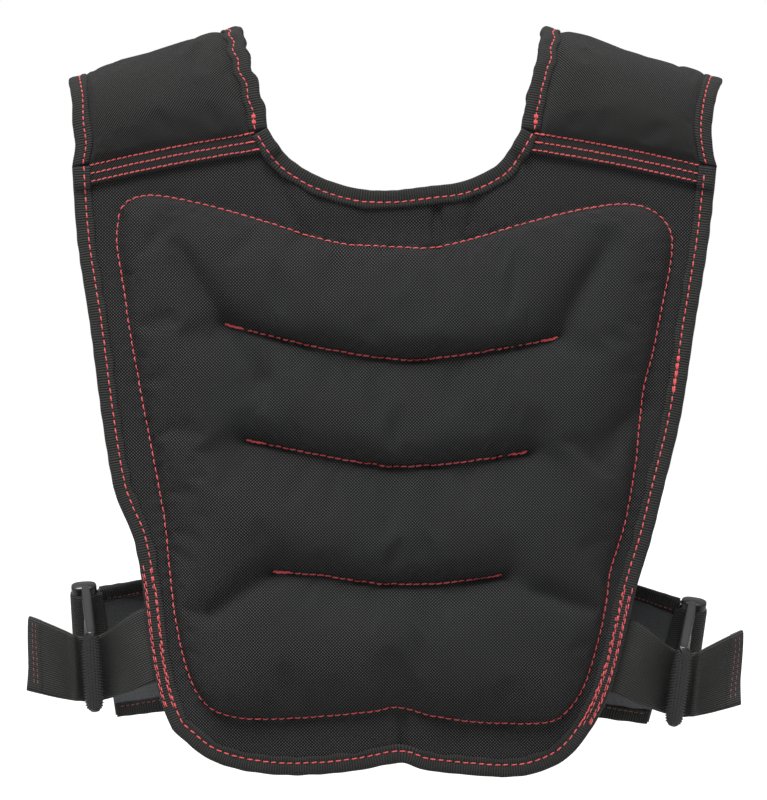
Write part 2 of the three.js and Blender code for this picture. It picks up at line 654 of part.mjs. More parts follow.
// The webbing loop that holds the slide's far bar to the wing's end.
function wingLoop(name, hand, frame, endLine) {
  const around = 9;
  const open = THREE.MathUtils.degToRad(35);
  const legGap = WEB_THICK / 2 + CLEAR / 2;
  const edges = [1, -1].map((side) => {
    const height = side * (WEB_WIDTH / 2);
    const centre = frame.at(0, SLIDE_PITCH / 2, height);
    const end = onEndLine(endLine, centre.z);
    end.x += hand * 2 * CLEAR;
    const ring = Array.from({ length: around + 1 }, (_, i) => {
      const angle = THREE.MathUtils.lerp(Math.PI - open, open - Math.PI, i / around);
      const reachX = BAR_THICK / 2 + CLEAR + WEB_THICK / 2;
      const reachY = BAR_DEEP / 2 + CLEAR + WEB_THICK / 2;
      return frame.at(hand * reachX * Math.cos(angle), SLIDE_PITCH / 2 + reachY * Math.sin(angle), height);
    });
    const leg = (sign) => end.clone().add(new THREE.Vector3(0, sign * legGap, 0));
    return [leg(1), ...ring, leg(-1)];
  });
  const grid = edges[0].map((point, i) => [point, edges[1][i]]);
  const normals = gridNormals(grid, hand);
  const half = () => WEB_THICK / 2;
  return piece(`wing_loop_${name}`, thickSolid(grid, normals, half, half), WEBBING);
}

// The webbing: from under the front binding, behind the slide's near bar, to the hemmed free end.
function sideStrap(row, sides, frame) {
  const { name, hand } = row;
  const z = -row.down * DROP;
  const edgeX = edgeAcross(hand < 0 ? sides.left : sides.right, z);
  const onBinding = (point) => underBinding(WEB_THICK / 2) - panelDepth(point.x, point.z);
  const under = (x) => new THREE.Vector3(x, onBinding({ x, z }), z);
  const slot = -SLIDE_PITCH / 2 + BAR_DEEP / 2 + CLEAR + WEB_THICK / 2;
  const beside = BAR_THICK / 2 + WEB_THICK;
  const lean = (out) => new THREE.Vector3(hand * out, 0, 1).normalize();
  const end = new THREE.Vector3(hand * row.tailOut * HALF_WIDTH, 0, -row.tailDown * DROP);
  const leave = frame.at(hand * beside, slot, 0);
  end.y = leave.y + 2 * WEB_THICK;
  const path = [
    { at: under(edgeX - hand * WEB_LAP), up: lean(row.lean) },
    { at: under(edgeX + hand * 2 * TAPE), up: lean(row.lean) },
    { at: frame.at(-hand * beside, slot, 0), up: frame.up },
    { at: frame.at(0, slot, 0), up: frame.up },
    { at: leave, up: frame.up },
    { at: end, up: lean(row.tailLean) },
  ];
  const curve = new THREE.CatmullRomCurve3(path.map((station) => station.at), false, 'centripetal');
  const stops = path.length - 1;
  const grid = [];
  const folded = [];
  const hemStart = 1 - TAIL_HEM / leave.distanceTo(end) / stops;
  const turns = Array.from({ length: STRAP_ROWS + 1 }, (_, i) => (i / STRAP_ROWS) * hemStart);
  for (const t of [...turns, hemStart + 0.002, 1]) {
    const from = Math.min(Math.floor(t * stops), stops - 1);
    const up = path[from].up.clone().lerp(path[from + 1].up, t * stops - from).normalize();
    const middle = curve.getPoint(t);
    const leaving = THREE.MathUtils.smoothstep(t * stops, 1, 2);
    grid.push([1, 0, -1].map((side) => {
      const point = middle.clone().addScaledVector(up, side * (WEB_WIDTH / 2));
      point.y = THREE.MathUtils.lerp(onBinding(point), point.y, leaving);
      return point;
    }));
    folded.push(t > hemStart + 0.001);
  }
  const normals = gridNormals(grid, hand);
  const half = () => WEB_THICK / 2;
  const withHem = (j) => (folded[j] ? 1.5 : 0.5) * WEB_THICK;
  return piece(`side_strap_${name}`, thickSolid(grid, normals, half, withHem), WEBBING);
}

const group = new THREE.Group();
const frontInset = TAPE + CLEAR;
const backInset = frontInset + BACK_INSET;
const frontSides = panelSides(frontInset);
const backSides = panelSides(backInset);
group.add(panel('front_panel', -1, frontInset, FRONT_FILL));
group.add(panel('back_panel', 1, backInset, BACK_FILL));
group.add(...panelBindings('front', -1, frontInset));
group.add(...panelBindings('back', 1, backInset));
group.add(...shoulderPad('left', -1, frontSides, backSides));
group.add(...shoulderPad('right', 1, frontSides, backSides));
for (const slide of SLIDES) {
  const frame = slideFrame(slide);
  const wing = sideWing(WINGS.find((row) => row.name === slide.name), backSides, frame);
  group.add(...wing.meshes);
  group.add(wingLoop(slide.name, slide.hand, frame, wing.endLine));
  group.add(sideStrap(STRAPS.find((row) => row.name === slide.name), frontSides, frame));
  group.add(slideBuckle(slide.name, frame));
}

export default group;
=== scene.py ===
# A short padded weighted vest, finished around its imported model.
# Metres, +Z up, the front faces -Y, and left and right are as seen from the front.
import math

import bpy
import numpy as np
from mathutils import Matrix, Vector
from mathutils.bvhtree import BVHTree


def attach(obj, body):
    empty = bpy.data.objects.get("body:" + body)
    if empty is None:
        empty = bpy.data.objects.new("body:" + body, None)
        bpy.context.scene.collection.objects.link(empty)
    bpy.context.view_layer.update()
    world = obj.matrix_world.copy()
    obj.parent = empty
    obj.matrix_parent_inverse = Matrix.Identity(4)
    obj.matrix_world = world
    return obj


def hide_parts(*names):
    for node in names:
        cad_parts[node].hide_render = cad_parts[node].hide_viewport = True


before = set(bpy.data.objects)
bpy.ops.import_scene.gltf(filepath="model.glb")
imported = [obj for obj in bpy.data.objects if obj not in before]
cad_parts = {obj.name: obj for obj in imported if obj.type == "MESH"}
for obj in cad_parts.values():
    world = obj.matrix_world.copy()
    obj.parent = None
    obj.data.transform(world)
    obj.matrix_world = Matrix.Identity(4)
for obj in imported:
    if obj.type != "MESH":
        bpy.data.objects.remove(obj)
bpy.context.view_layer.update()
scene = bpy.context.scene


# Studio
# A long lens looks straight at the vest, as in the photograph. The floor is a plain pale sheet
# some way below it, and soft white light falls mostly from above and in front.
PIXEL = 0.002 / 3  # what one pixel of the photograph measures on the vest
PICTURE_WIDTH = 767
PICTURE_HEIGHT = 800
MIDDLE_COLUMN = 392  # where x = 0 and z = 0 lie in the photograph
SHOULDER_ROW = 68
LENS = 500.0
SENSOR = 36.0
FRONT_PLANE = -0.065
FLOOR_HEIGHT = -0.56
FLOOR_REACH = 40.0
SKY_LEVEL = 0.1
SKY_OVERHEAD = 0.9
SKY_SEEN = 1.0


class Socket:
    """A shader socket. An expression on it adds Math nodes, and add() adds any other node."""

    def __init__(self, tree, socket=None):
        self.tree = tree
        self.socket = socket

    def add(self, kind, settings, inputs, output=0):
        """Adds a node: its settings are set first, then the values or links of its inputs."""
        node = self.tree.nodes.new("ShaderNode" + kind)
        for name, value in settings.items():
            setattr(node, name, value)
        for name, value in inputs.items():
            self.feed(node.inputs[name], value)
        return Socket(self.tree, node.outputs[output])

    def feed(self, target, value):
        if isinstance(value, Socket):
            self.tree.links.new(value.socket, target)
        else:
            target.default_value = value

    def maths(self, operation, *values):
        return self.add("Math", {"operation": operation}, dict(enumerate(values)))

    def __add__(self, other):
        return self.maths("ADD", self, other)

    def __radd__(self, other):
        return self.maths("ADD", other, self)

    def __sub__(self, other):
        return self.maths("SUBTRACT", self, other)

    def __rsub__(self, other):
        return self.maths("SUBTRACT", other, self)

    def __mul__(self, other):
        return self.maths("MULTIPLY", self, other)

    def __rmul__(self, other):
        return self.maths("MULTIPLY", other, self)

    def __truediv__(self, other):
        return self.maths("DIVIDE", self, other)

    def wave(self, length):
        """A sine that repeats at each length."""
        return self.maths("SINE", self * (2 * math.pi / length))


def aim(thing, towards):
    """Turns a lamp or camera, which looks down its own -Z, in a direction."""
    thing.rotation_euler = Vector(towards).to_track_quat("-Z", "Y").to_euler()


camera = bpy.data.objects.new("camera", bpy.data.cameras.new("camera"))
camera.data.lens = LENS
camera.data.sensor_width = SENSOR
camera.data.clip_end = 100.0
view_distance = LENS / SENSOR * PICTURE_HEIGHT * PIXEL
camera.location = (
    (PICTURE_WIDTH / 2 - MIDDLE_COLUMN) * PIXEL,
    FRONT_PLANE - view_distance,
    (SHOULDER_ROW - PICTURE_HEIGHT / 2) * PIXEL,
)
aim(camera, (0, 1, 0))
scene.collection.objects.link(camera)
scene.camera = camera
scene.view_settings.view_transform = "Standard"

scene.world = bpy.data.worlds.new("studio")
scene.world.use_nodes = True
sky = Socket(scene.world.node_tree)
sky_way = sky.add("TexCoord", {}, {}, "Generated")
sky_height = sky.add("SeparateXYZ", {}, {"Vector": sky_way}, "Z")
sky_light = SKY_LEVEL + SKY_OVERHEAD * sky.maths("MAXIMUM", sky_height, 0.0)
sky_seen = sky.add("LightPath", {}, {}, "Is Camera Ray")
sky_strength = sky_seen * SKY_SEEN + (1 - sky_seen) * sky_light
sky.feed(scene.world.node_tree.nodes["Background"].inputs["Color"], (1, 1, 1, 1))
sky.feed(scene.world.node_tree.nodes["Background"].inputs["Strength"], sky_strength)

# Each lamp: name, where its light comes from, strength, and how wide and soft it is in degrees.
for lamp_name, lamp_from, lamp_strength, lamp_width in (
    ("top_light", (-0.15, -0.46, 1.0), 5.8, 26),
    ("front_light", (0.25, -1.0, 0.4), 0.4, 50),
):
    lamp = bpy.data.objects.new(lamp_name, bpy.data.lights.new(lamp_name, "SUN"))
    lamp.data.energy = lamp_strength
    lamp.data.angle = math.radians(lamp_width)
    aim(lamp, -Vector(lamp_from))
    scene.collection.objects.link(lamp)

floor_corners = [(-FLOOR_REACH, -FLOOR_REACH), (FLOOR_REACH, -FLOOR_REACH),
                 (FLOOR_REACH, FLOOR_REACH), (-FLOOR_REACH, FLOOR_REACH)]
floor_mesh = bpy.data.meshes.new("floor")
floor_mesh.from_pydata([(x, y, FLOOR_HEIGHT) for x, y in floor_corners], [], [(0, 1, 2, 3)])
floor_finish = bpy.data.materials.new("floor_paper")
floor_finish.use_nodes = True
floor_shader = floor_finish.node_tree.nodes["Principled BSDF"]
floor_shader.inputs["Base Color"].default_value = (0.55, 0.55, 0.55, 1)
floor_shader.inputs["Roughness"].default_value = 0.9
floor_mesh.materials.append(floor_finish)
studio_floor = bpy.data.objects.new("floor", floor_mesh)
scene.collection.objects.link(studio_floor)


# Front and back panels
# Each is two layers of black nylon canvas, sewn flat round the edge. A line of stitching marks out
# a pocket that is filled with heavy grain, and three short quilt lines part it into soft pillows.
HALF_WIDTH = 0.218
DROP = 0.473
HALF_DEPTH = 0.062
WRAP = 0.022
LEAN = 0.014
LEAN_START = 0.2
BORDER = 0.003
FRONT_FILL = 0.020
BACK_FILL = 0.014
INNER_FILL = 0.008
FILL_RAMP = 0.044
QUILT_RAMP = 0.036  # below a quilt line, where the filling has sunk away from it
SAG_RAMP = 0.021  # above a quilt line, where the filling rests on it
SAG_BLEND = 0.018
QUILT_KEEP = 0.1
TAPE = 0.0012
CLEAR = 0.0004
BACK_INSET = 0.004
PANEL_COLUMNS = 120
SEAM_COLUMNS = 27
PANEL_ROWS = 116
CREASE = 0.0011
CREASE_WIDTH = 0.0024
PUCKER = 0.00035
PUCKER_REACH = 0.007
START_FILL = 0.86  # how full the pocket is before the pressure fills it out
PANEL_PRESSURE = 4.0
PANEL_GROWTH = 0.012  # the share by which the cloth stretches as it fills out
PANEL_CAP = 0.007  # the furthest that any of the cloth moves
HELD_SEAM = 0.0022  # cloth this near to a seam stays where it is
SWELL_STEPS = 20
CANVAS_YARN = 0.00104
DARKEST = 0.04  # the least share of a cloth's own colour, where the painted shade between its yarns, ribs and cords is deepest

# Outline, in shares of HALF_WIDTH across and of DROP down. The sides run from the bottom up.
LEFT_EDGE = [
    (-0.673, 0.934), (-0.706, 0.897), (-0.731, 0.848), (-0.749, 0.794), (-0.765, 0.73), (-0.792, 0.665),
    (-0.829, 0.624), (-0.856, 0.588), (-0.891, 0.49), (-0.927, 0.362), (-0.966, 0.244), (-0.983, 0.138),
]
RIGHT_EDGE = [
    (0.618, 0.928), (0.653, 0.897), (0.691, 0.848), (0.719, 0.794), (0.752, 0.73), (0.795, 0.665),
    (0.833, 0.594), (0.887, 0.49), (0.93, 0.362), (0.972, 0.244), (0.998, 0.138),
]
BOTTOM_EDGE = [
    (-0.673, 0.934), (-0.636, 0.949), (-0.569, 0.973), (-0.474, 0.989), (-0.346, 0.997), (-0.217, 0.996),
    (-0.098, 0.99), (0.026, 0.98), (0.101, 0.99), (0.235, 0.997), (0.346, 1), (0.428, 0.996),
    (0.508, 0.982), (0.563, 0.962), (0.618, 0.928),
]
NECK_EDGE = [
    (-0.382, 0.083), (-0.358, 0.101), (-0.312, 0.127), (-0.229, 0.151), (-0.119, 0.168), (-0.012, 0.172),
    (0.11, 0.166), (0.217, 0.159), (0.315, 0.138), (0.358, 0.115), (0.398, 0.083),
]
POCKET = [
    (-0.83, 0.2), (-0.795, 0.185), (-0.715, 0.181), (-0.547, 0.197), (-0.361, 0.222), (-0.24, 0.24),
    (-0.141, 0.25), (-0.02, 0.253), (0.119, 0.255), (0.25, 0.242), (0.38, 0.224), (0.547, 0.204),
    (0.695, 0.193), (0.79, 0.2), (0.85, 0.228), (0.851, 0.27), (0.829, 0.323), (0.795, 0.4),
    (0.767, 0.45), (0.752, 0.51), (0.74, 0.565), (0.71, 0.64), (0.664, 0.71), (0.652, 0.756),
    (0.62, 0.82), (0.58, 0.875), (0.53, 0.907), (0.471, 0.921), (0.29, 0.921), (0.13, 0.912),
    (0.055, 0.902), (0.0, 0.899), (-0.06, 0.905), (-0.25, 0.913), (-0.42, 0.916), (-0.52, 0.909),
    (-0.575, 0.892), (-0.615, 0.86), (-0.645, 0.81), (-0.67, 0.74), (-0.686, 0.66), (-0.697, 0.623),
    (-0.728, 0.545), (-0.76, 0.47), (-0.795, 0.38), (-0.822, 0.3), (-0.84, 0.24),
]
QUILT_LINES = [
    [(-0.511, 0.361), (-0.41, 0.373), (-0.309, 0.385), (-0.141, 0.401), (0.028, 0.411), (0.144, 0.408),
     (0.33, 0.396), (0.511, 0.38)],
    [(-0.446, 0.524), (-0.193, 0.548), (-0.06, 0.558), (0.024, 0.562), (0.2, 0.556), (0.419, 0.541)],
    [(-0.364, 0.71), (-0.217, 0.715), (-0.07, 0.725), (-0.012, 0.727), (0.116, 0.727), (0.24, 0.722),
     (0.339, 0.715)],
]
# Lasting folds: where each starts and ends, its depth and its width in shares of the fill and ramp.
FOLDS = [
    (-0.69, 0.244, -0.41, 0.438, 0.32, 0.4),
    (0.67, 0.249, 0.53, 0.362, 0.36, 0.45),
    (-0.364, 0.71, -0.55, 0.769, 0.3, 0.34),
    (0.456, 0.738, 0.609, 0.759, 0.26, 0.3),
    (0.77, 0.475, 0.63, 0.55, 0.28, 0.34),
    (0.034, 0.98, 0.034, 0.9, 0.25, 0.3),
    (0.15, 0.263, 0.138, 0.193, 0.3, 0.25),
    (-0.281, 0.23, -0.358, 0.172, 0.25, 0.25),
]
# Sharper creases: where each starts and ends, its depth and its half width in metres.
CREASES = [
    (-0.24, 0.232, 0.26, 0.232, 0.0020, 0.012),
    (0.138, 0.193, 0.142, 0.262, 0.0030, 0.0032),
    (0.254, 0.182, 0.24, 0.24, 0.0018, 0.005),
    (-0.36, 0.151, -0.28, 0.235, 0.0024, 0.006),
    (-0.22, 0.178, -0.2, 0.235, 0.0009, 0.005),
    (0.034, 0.912, 0.034, 0.985, 0.0026, 0.0034),
    (0.77, 0.475, 0.636, 0.524, 0.0022, 0.006),
    (-0.66, 0.25, -0.405, 0.438, 0.0026, 0.006),
    (0.655, 0.25, 0.53, 0.362, 0.0024, 0.0075),
    (-0.376, 0.712, -0.55, 0.769, 0.0018, 0.005),
    (0.456, 0.738, 0.609, 0.759, 0.0014, 0.005),
]
PANEL_SCALE = np.array([HALF_WIDTH, -DROP])


def smooth_line(rows, steps=24):
    """A fine line through the rows' points, curved evenly at each."""
    points = np.asarray(rows, float)
    ends = np.vstack([points[:1], points, points[-1:]])
    share = np.linspace(0, 1, steps, endpoint=False)[:, None]
    parts = []
    for before, start, end, after in zip(ends, ends[1:], ends[2:], ends[3:]):
        leaving = (end - before) / 2
        arriving = (after - start) / 2
        cubic = 2 * (start - end) + leaving + arriving
        square = 3 * (end - start) - 2 * leaving - arriving
        parts.append(((cubic * share + square) * share + leaving) * share + start)
    return np.vstack([*parts, points[-1:]])


def travelled(line):
    """How far along a line each of its points is."""
    return np.concatenate([[0], np.cumsum(np.linalg.norm(np.diff(line, axis=0), axis=1))])


def at_marks(spots, marks, rows):
    """Rows read at given spots, where each row has its own mark along a line."""
    return np.stack([np.interp(spots, marks, column) for column in rows.T], axis=-1)


def even_points(line, count):
    """Points that part a line into a number of equal stretches."""
    marks = travelled(line)
    return at_marks(np.linspace(0, marks[-1], count + 1), marks, line)


def inset_line(rows, inset):
    """The line through a table's rows, moved to its left by an inset."""
    line = smooth_line(np.asarray(rows) * PANEL_SCALE)
    way = np.gradient(line, axis=0)
    way /= np.linalg.norm(way, axis=1)[:, None]
    return line + inset * np.column_stack([-way[:, 1], way[:, 0]])


def panel_sides(inset):
    """The lines of a panel's bottom, right, neck and left edges, inside its binding."""
    bottom = inset_line(BOTTOM_EDGE, inset)
    right = inset_line(RIGHT_EDGE, inset)
    neck = inset_line(NECK_EDGE, -inset)
    left = inset_line(LEFT_EDGE, -inset)
    bottom[0] = left[0] = (bottom[0] + left[0]) / 2
    bottom[-1] = right[0] = (bottom[-1] + right[0]) / 2
    return bottom, right, neck, left


def panel_patch(inset):
    """A grid of flat points over a panel, with rows that run from left to right."""
    bottom, right, neck, left = panel_sides(inset)
    top = np.vstack([
        np.linspace(left[-1], neck[0], SEAM_COLUMNS, endpoint=False),
        even_points(neck, PANEL_COLUMNS - 2 * SEAM_COLUMNS),
        np.linspace(right[-1], neck[-1], SEAM_COLUMNS, endpoint=False)[::-1],
    ])
    low = even_points(bottom, PANEL_COLUMNS)
    start = even_points(left, PANEL_ROWS)[:, None]
    end = even_points(right, PANEL_ROWS)[:, None]
    across = np.linspace(0, 1, PANEL_COLUMNS + 1)[None, :, None]
    up = np.linspace(0, 1, PANEL_ROWS + 1)[:, None, None]
    corners = (1 - up) * ((1 - across) * low[0] + across * low[-1])
    corners = corners + up * ((1 - across) * top[0] + across * top[-1])
    return (1 - up) * low + up * top + (1 - across) * start + across * end - corners


def nearest(line, points):
    """How far each point is from a line, and how far along the line its nearest place is."""
    best = np.full(len(points), np.inf)
    place = np.zeros(len(points))
    passed = 0.0
    for start, end in zip(line, line[1:]):
        span = end - start
        length = np.linalg.norm(span)
        share = np.clip((points - start) @ span / length**2, 0, 1)
        gap = np.linalg.norm(points - start - share[:, None] * span, axis=1)
        closer = gap < best
        best[closer] = gap[closer]
        place[closer] = passed + share[closer] * length
        passed += length
    return best, place


def is_inside(loop, points):
    """Whether each point is inside a closed line."""
    inside = np.zeros(len(points), bool)
    x, z = points.T
    for (ax, az), (bx, bz) in zip(loop, loop[1:]):
        crosses = (az > z) != (bz > z)
        with np.errstate(divide="ignore", invalid="ignore"):
            inside ^= crosses & (x < (bx - ax) * (z - az) / (bz - az) + ax)
    return inside


def bulge(distance, ramp):
    """Height of a full, round-shouldered bulge at a distance from its seam."""
    rest = 1 - np.clip(distance / ramp, 0, 1)
    return np.sqrt(1 - rest**2)


def smooth_share(value):
    """A share from 0 to 1 that starts and ends gently."""
    value = np.clip(value, 0, 1)
    return value * value * (3 - 2 * value)


def panel_depth(points):
    """How far a panel's middle surface lies from the vest's middle plane."""
    lean = smooth_share((points[..., 1] + LEAN_START) / LEAN_START)
    return HALF_DEPTH - WRAP * (points[..., 0] / HALF_WIDTH) ** 2 - LEAN * lean


pocket_line = even_points(smooth_line(np.array([*POCKET, POCKET[0]]) * PANEL_SCALE, 8), 180)
quilt_lines = [even_points(smooth_line(np.array(rows) * PANEL_SCALE), 24) for rows in QUILT_LINES]


def fill_share(points):
    """How far the filling stands out at each point, as a share of its full height."""
    share = bulge(nearest(pocket_line, points)[0], FILL_RAMP) * is_inside(pocket_line, points)
    for line in quilt_lines:
        height = points[:, 1] - np.interp(points[:, 0], line[:, 0], line[:, 1])
        sagging = smooth_share(0.5 + height / SAG_BLEND)
        ramp = QUILT_RAMP + (SAG_RAMP - QUILT_RAMP) * sagging
        share *= QUILT_KEEP + (1 - QUILT_KEEP) * bulge(nearest(line, points)[0], ramp)
    for across, down, to_across, to_down, depth, width in FOLDS:
        valley = np.array([(across, down), (to_across, to_down)]) * PANEL_SCALE
        away = nearest(valley, points)[0] / (width * QUILT_RAMP)
        share *= 1 - depth * np.exp(-(away**2))
    return share


def grid_faces(rows, columns, first=0):
    """The four-sided faces of a grid of points."""
    corner = (np.arange(rows - 1)[:, None] * columns + np.arange(columns - 1) + first).ravel()
    return np.column_stack([corner, corner + 1, corner + columns + 1, corner + columns])


def rim_of(rows, columns, first=0):
    """The points round the edge of a grid, in order, back to the first."""
    index = np.arange(rows * columns).reshape(rows, columns) + first
    return np.concatenate([index[0], index[1:, -1], index[-1, -2::-1], index[-2::-1, 0]])


def shell(outer, inner):
    """The points and faces of a closed form between two grids. The outer grid may be twice as fine."""
    rows, columns = outer.shape[:2]
    inner_rows, inner_columns = inner.shape[:2]
    first = rows * columns
    points = np.vstack([outer.reshape(-1, 3), inner.reshape(-1, 3)])
    faces = grid_faces(rows, columns).tolist()
    faces += grid_faces(inner_rows, inner_columns, first)[:, ::-1].tolist()
    near = rim_of(rows, columns)
    far = rim_of(inner_rows, inner_columns, first)
    if len(near) == len(far):
        faces += np.column_stack([near[1:], near[:-1], far[:-1], far[1:]]).tolist()
    else:
        faces += np.column_stack([near[1::2], near[:-2:2], far[:-1]]).tolist()
        faces += np.column_stack([near[2::2], near[1::2], far[:-1], far[1:]]).tolist()
    return points, faces


def facing_out(points, faces):
    """The faces of a closed form, all turned to face outwards."""
    volume = 0.0
    for size in (3, 4):
        some = np.array([face for face in faces if len(face) == size])
        for k in range(1, size - 1):
            if len(some):
                a, b, c = points[some[:, 0]], points[some[:, k]], points[some[:, k + 1]]
                volume += np.einsum("ij,ij->", a, np.cross(b, c))
    return faces if volume > 0 else [face[::-1] for face in faces]


def swell(points, faces, held, pressure, growth, cap):
    """The points of a closed form once its free cloth has filled out under pressure."""
    mesh = bpy.data.meshes.new("swelling")
    mesh.from_pydata(points.tolist(), [], facing_out(points, faces))
    cloth = bpy.data.objects.new("swelling", mesh)
    scene.collection.objects.link(cloth)
    cloth.vertex_groups.new(name="held").add(np.flatnonzero(held).tolist(), 1.0, "REPLACE")
    modifier = cloth.modifiers.new("cloth", "CLOTH")
    modifier.collision_settings.use_collision = False
    settings = modifier.settings
    settings.quality = 5
    settings.mass = 0.2
    settings.tension_stiffness = 14
    settings.compression_stiffness = 14
    settings.shear_stiffness = 6
    settings.bending_stiffness = 5.0
    settings.use_pressure = True
    settings.uniform_pressure_force = pressure
    settings.shrink_min = -growth
    settings.vertex_group_mass = "held"
    settings.effector_weights.gravity = 0
    for step in range(SWELL_STEPS):
        scene.frame_set(step + 1)
    shown = cloth.evaluated_get(bpy.context.evaluated_depsgraph_get())
    moved = np.empty(len(points) * 3, np.float32)
    shown.data.vertices.foreach_get("co", moved)
    bpy.data.objects.remove(cloth)
    scene.frame_set(1)
    move = moved.reshape(-1, 3) - points
    reach = np.maximum(np.linalg.norm(move, axis=1), 1e-9)
    return points + move * np.minimum(cap / reach, 1)[:, None]


def finer(grid):
    """A grid with a smooth new line of points between each two of its own, both ways."""
    for axis in (0, 1):
        lines = np.moveaxis(grid, axis, 0)
        ends = np.concatenate([2 * lines[:1] - lines[1:2], lines, 2 * lines[-1:] - lines[-2:-1]])
        wide = np.empty((2 * len(lines) - 1, *lines.shape[1:]))
        wide[::2] = lines
        wide[1::2] = (9 * (ends[1:-2] + ends[2:-1]) - ends[:-3] - ends[3:]) / 16
        grid = np.moveaxis(wide, 0, axis)
    return grid


def wander(along, seed, longest, shortest):
    """An uneven wave from about -1 to 1 along a line, the same at each run."""
    draw = np.random.default_rng(seed)
    total = np.zeros_like(along)
    for _ in range(5):
        length = draw.uniform(shortest, longest)
        total += np.sin(2 * math.pi * (along / length + draw.uniform()))
    return total / 2.4


def add_piece(name, points, faces, attributes, finish, nodes=()):
    """Adds a piece of the vest, which rides on its one body and stands for CAD nodes."""
    mesh = bpy.data.meshes.new(name)
    mesh.from_pydata(points.tolist(), [], facing_out(points, faces))
    for key, values in attributes.items():
        kind, field = ("FLOAT_VECTOR", "vector") if values.ndim == 2 else ("FLOAT", "value")
        mesh.attributes.new(key, kind, "POINT").data.foreach_set(field, values.astype(np.float32).ravel())
    mesh.shade_smooth()
    mesh.materials.append(finish)
    made = bpy.data.objects.new(name, mesh)
    scene.collection.objects.link(made)
    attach(made, "root")
    if nodes:
        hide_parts(*nodes)
    return made


def new_finish(name):
    """A new material, its sockets, and the place of each spot on the unrolled cloth."""
    finish = bpy.data.materials.new(name)
    finish.use_nodes = True
    sockets = Socket(finish.node_tree)
    return finish, sockets, sockets.add("Attribute", {"attribute_name": "cloth"}, {}, "Vector")


def drifting(sockets, place, scale, along_drift, across_drift):
    """How far along and across the cloth each spot is, where its yarns wander a little."""
    drift = sockets.add("TexNoise", {}, {"Vector": place, "Scale": scale, "Detail": 2.0}, "Color")
    bent = sockets.add("VectorMath", {"operation": "MULTIPLY_ADD"},
                       {0: drift, 1: (along_drift, across_drift, 0), 2: place})
    return [sockets.add("SeparateXYZ", {}, {"Vector": bent}, way) for way in ("X", "Y")]


def speckled(sockets, place, scale, detail):
    return sockets.add("TexNoise", {}, {"Vector": place, "Scale": scale, "Detail": detail}, "Fac")


def finish_off(finish, sockets, colour, tone, roughness, height, strength, fixed):
    """Feeds a finish's shader: a colour times a tone, a roughness, a height, and fixed values."""
    tint = sockets.add("VectorMath", {"operation": "SCALE"}, {0: colour, "Scale": tone})
    normal = sockets.add("Bump", {}, {"Strength": strength, "Distance": 1.0, "Height": height})
    shader = finish.node_tree.nodes["Principled BSDF"]
    sockets.feed(shader.inputs["Base Color"], tint)
    sockets.feed(shader.inputs["Roughness"], roughness)
    sockets.feed(shader.inputs["Normal"], normal)
    for name, value in fixed.items():
        shader.inputs[name].default_value = value
    return finish


def woven_finish(name, colour, yarn, painted_contrast, relief, roughness, sheen, stitch=0.0062, twill=False):
    """A woven cloth: yarns that pass over and under each other, in a lattice or in slanting ribs, with
    painted highlight on the yarns that pass over and painted shade between them.
    """
    finish, cloth, place = new_finish(name)
    across, up = drifting(cloth, place, 38.0, yarn * 1.2, yarn * 1.2)
    over = (across - up).wave(2.8 * yarn) if twill else across.wave(2 * yarn) * up.wave(2 * yarn)
    slub = speckled(cloth, place, 900.0, 2.0)
    broad = speckled(cloth, place, 16.0, 4.0)
    # Painted highlight and painted shade: the colour is lighter where yarns pass over and darker between
    # them. The slubs and broad patches are the cloth's own uneven colour.
    painted_yarn_light = cloth.maths("MAXIMUM", over, 0.0) - (0.32 if twill else 0.2)
    tone = 1 + painted_contrast * painted_yarn_light + 1.4 * (slub - 0.5) + 0.6 * (broad - 0.5)
    tone = cloth.maths("MAXIMUM", tone, DARKEST)
    seam = cloth.add("Attribute", {"attribute_name": "seam"}, {}, "Fac")
    along = cloth.add("Attribute", {"attribute_name": "along"}, {}, "Fac")
    pull = cloth.maths("EXPONENT", -1 * (seam / 0.0026) * (seam / 0.0026))
    height = relief * over + relief * (slub - 0.5) - pull * (0.0003 + 0.00016 * along.wave(stitch))
    fixed = {"Specular IOR Level": 0.12, "Sheen Weight": sheen, "Sheen Roughness": 0.45}
    return finish_off(finish, cloth, colour, tone, roughness + 0.18 * (slub - 0.5), height, 0.85, fixed)


def on_sheet(places):
    """Flat places as the attribute that a finish reads them from."""
    return np.column_stack([places, np.zeros(len(places))])


canvas = woven_finish("nylon_canvas", (0.0125, 0.0125, 0.0127), CANVAS_YARN, 4.9, 0.00036, 0.66, 0.01)
panel_surfaces = {}

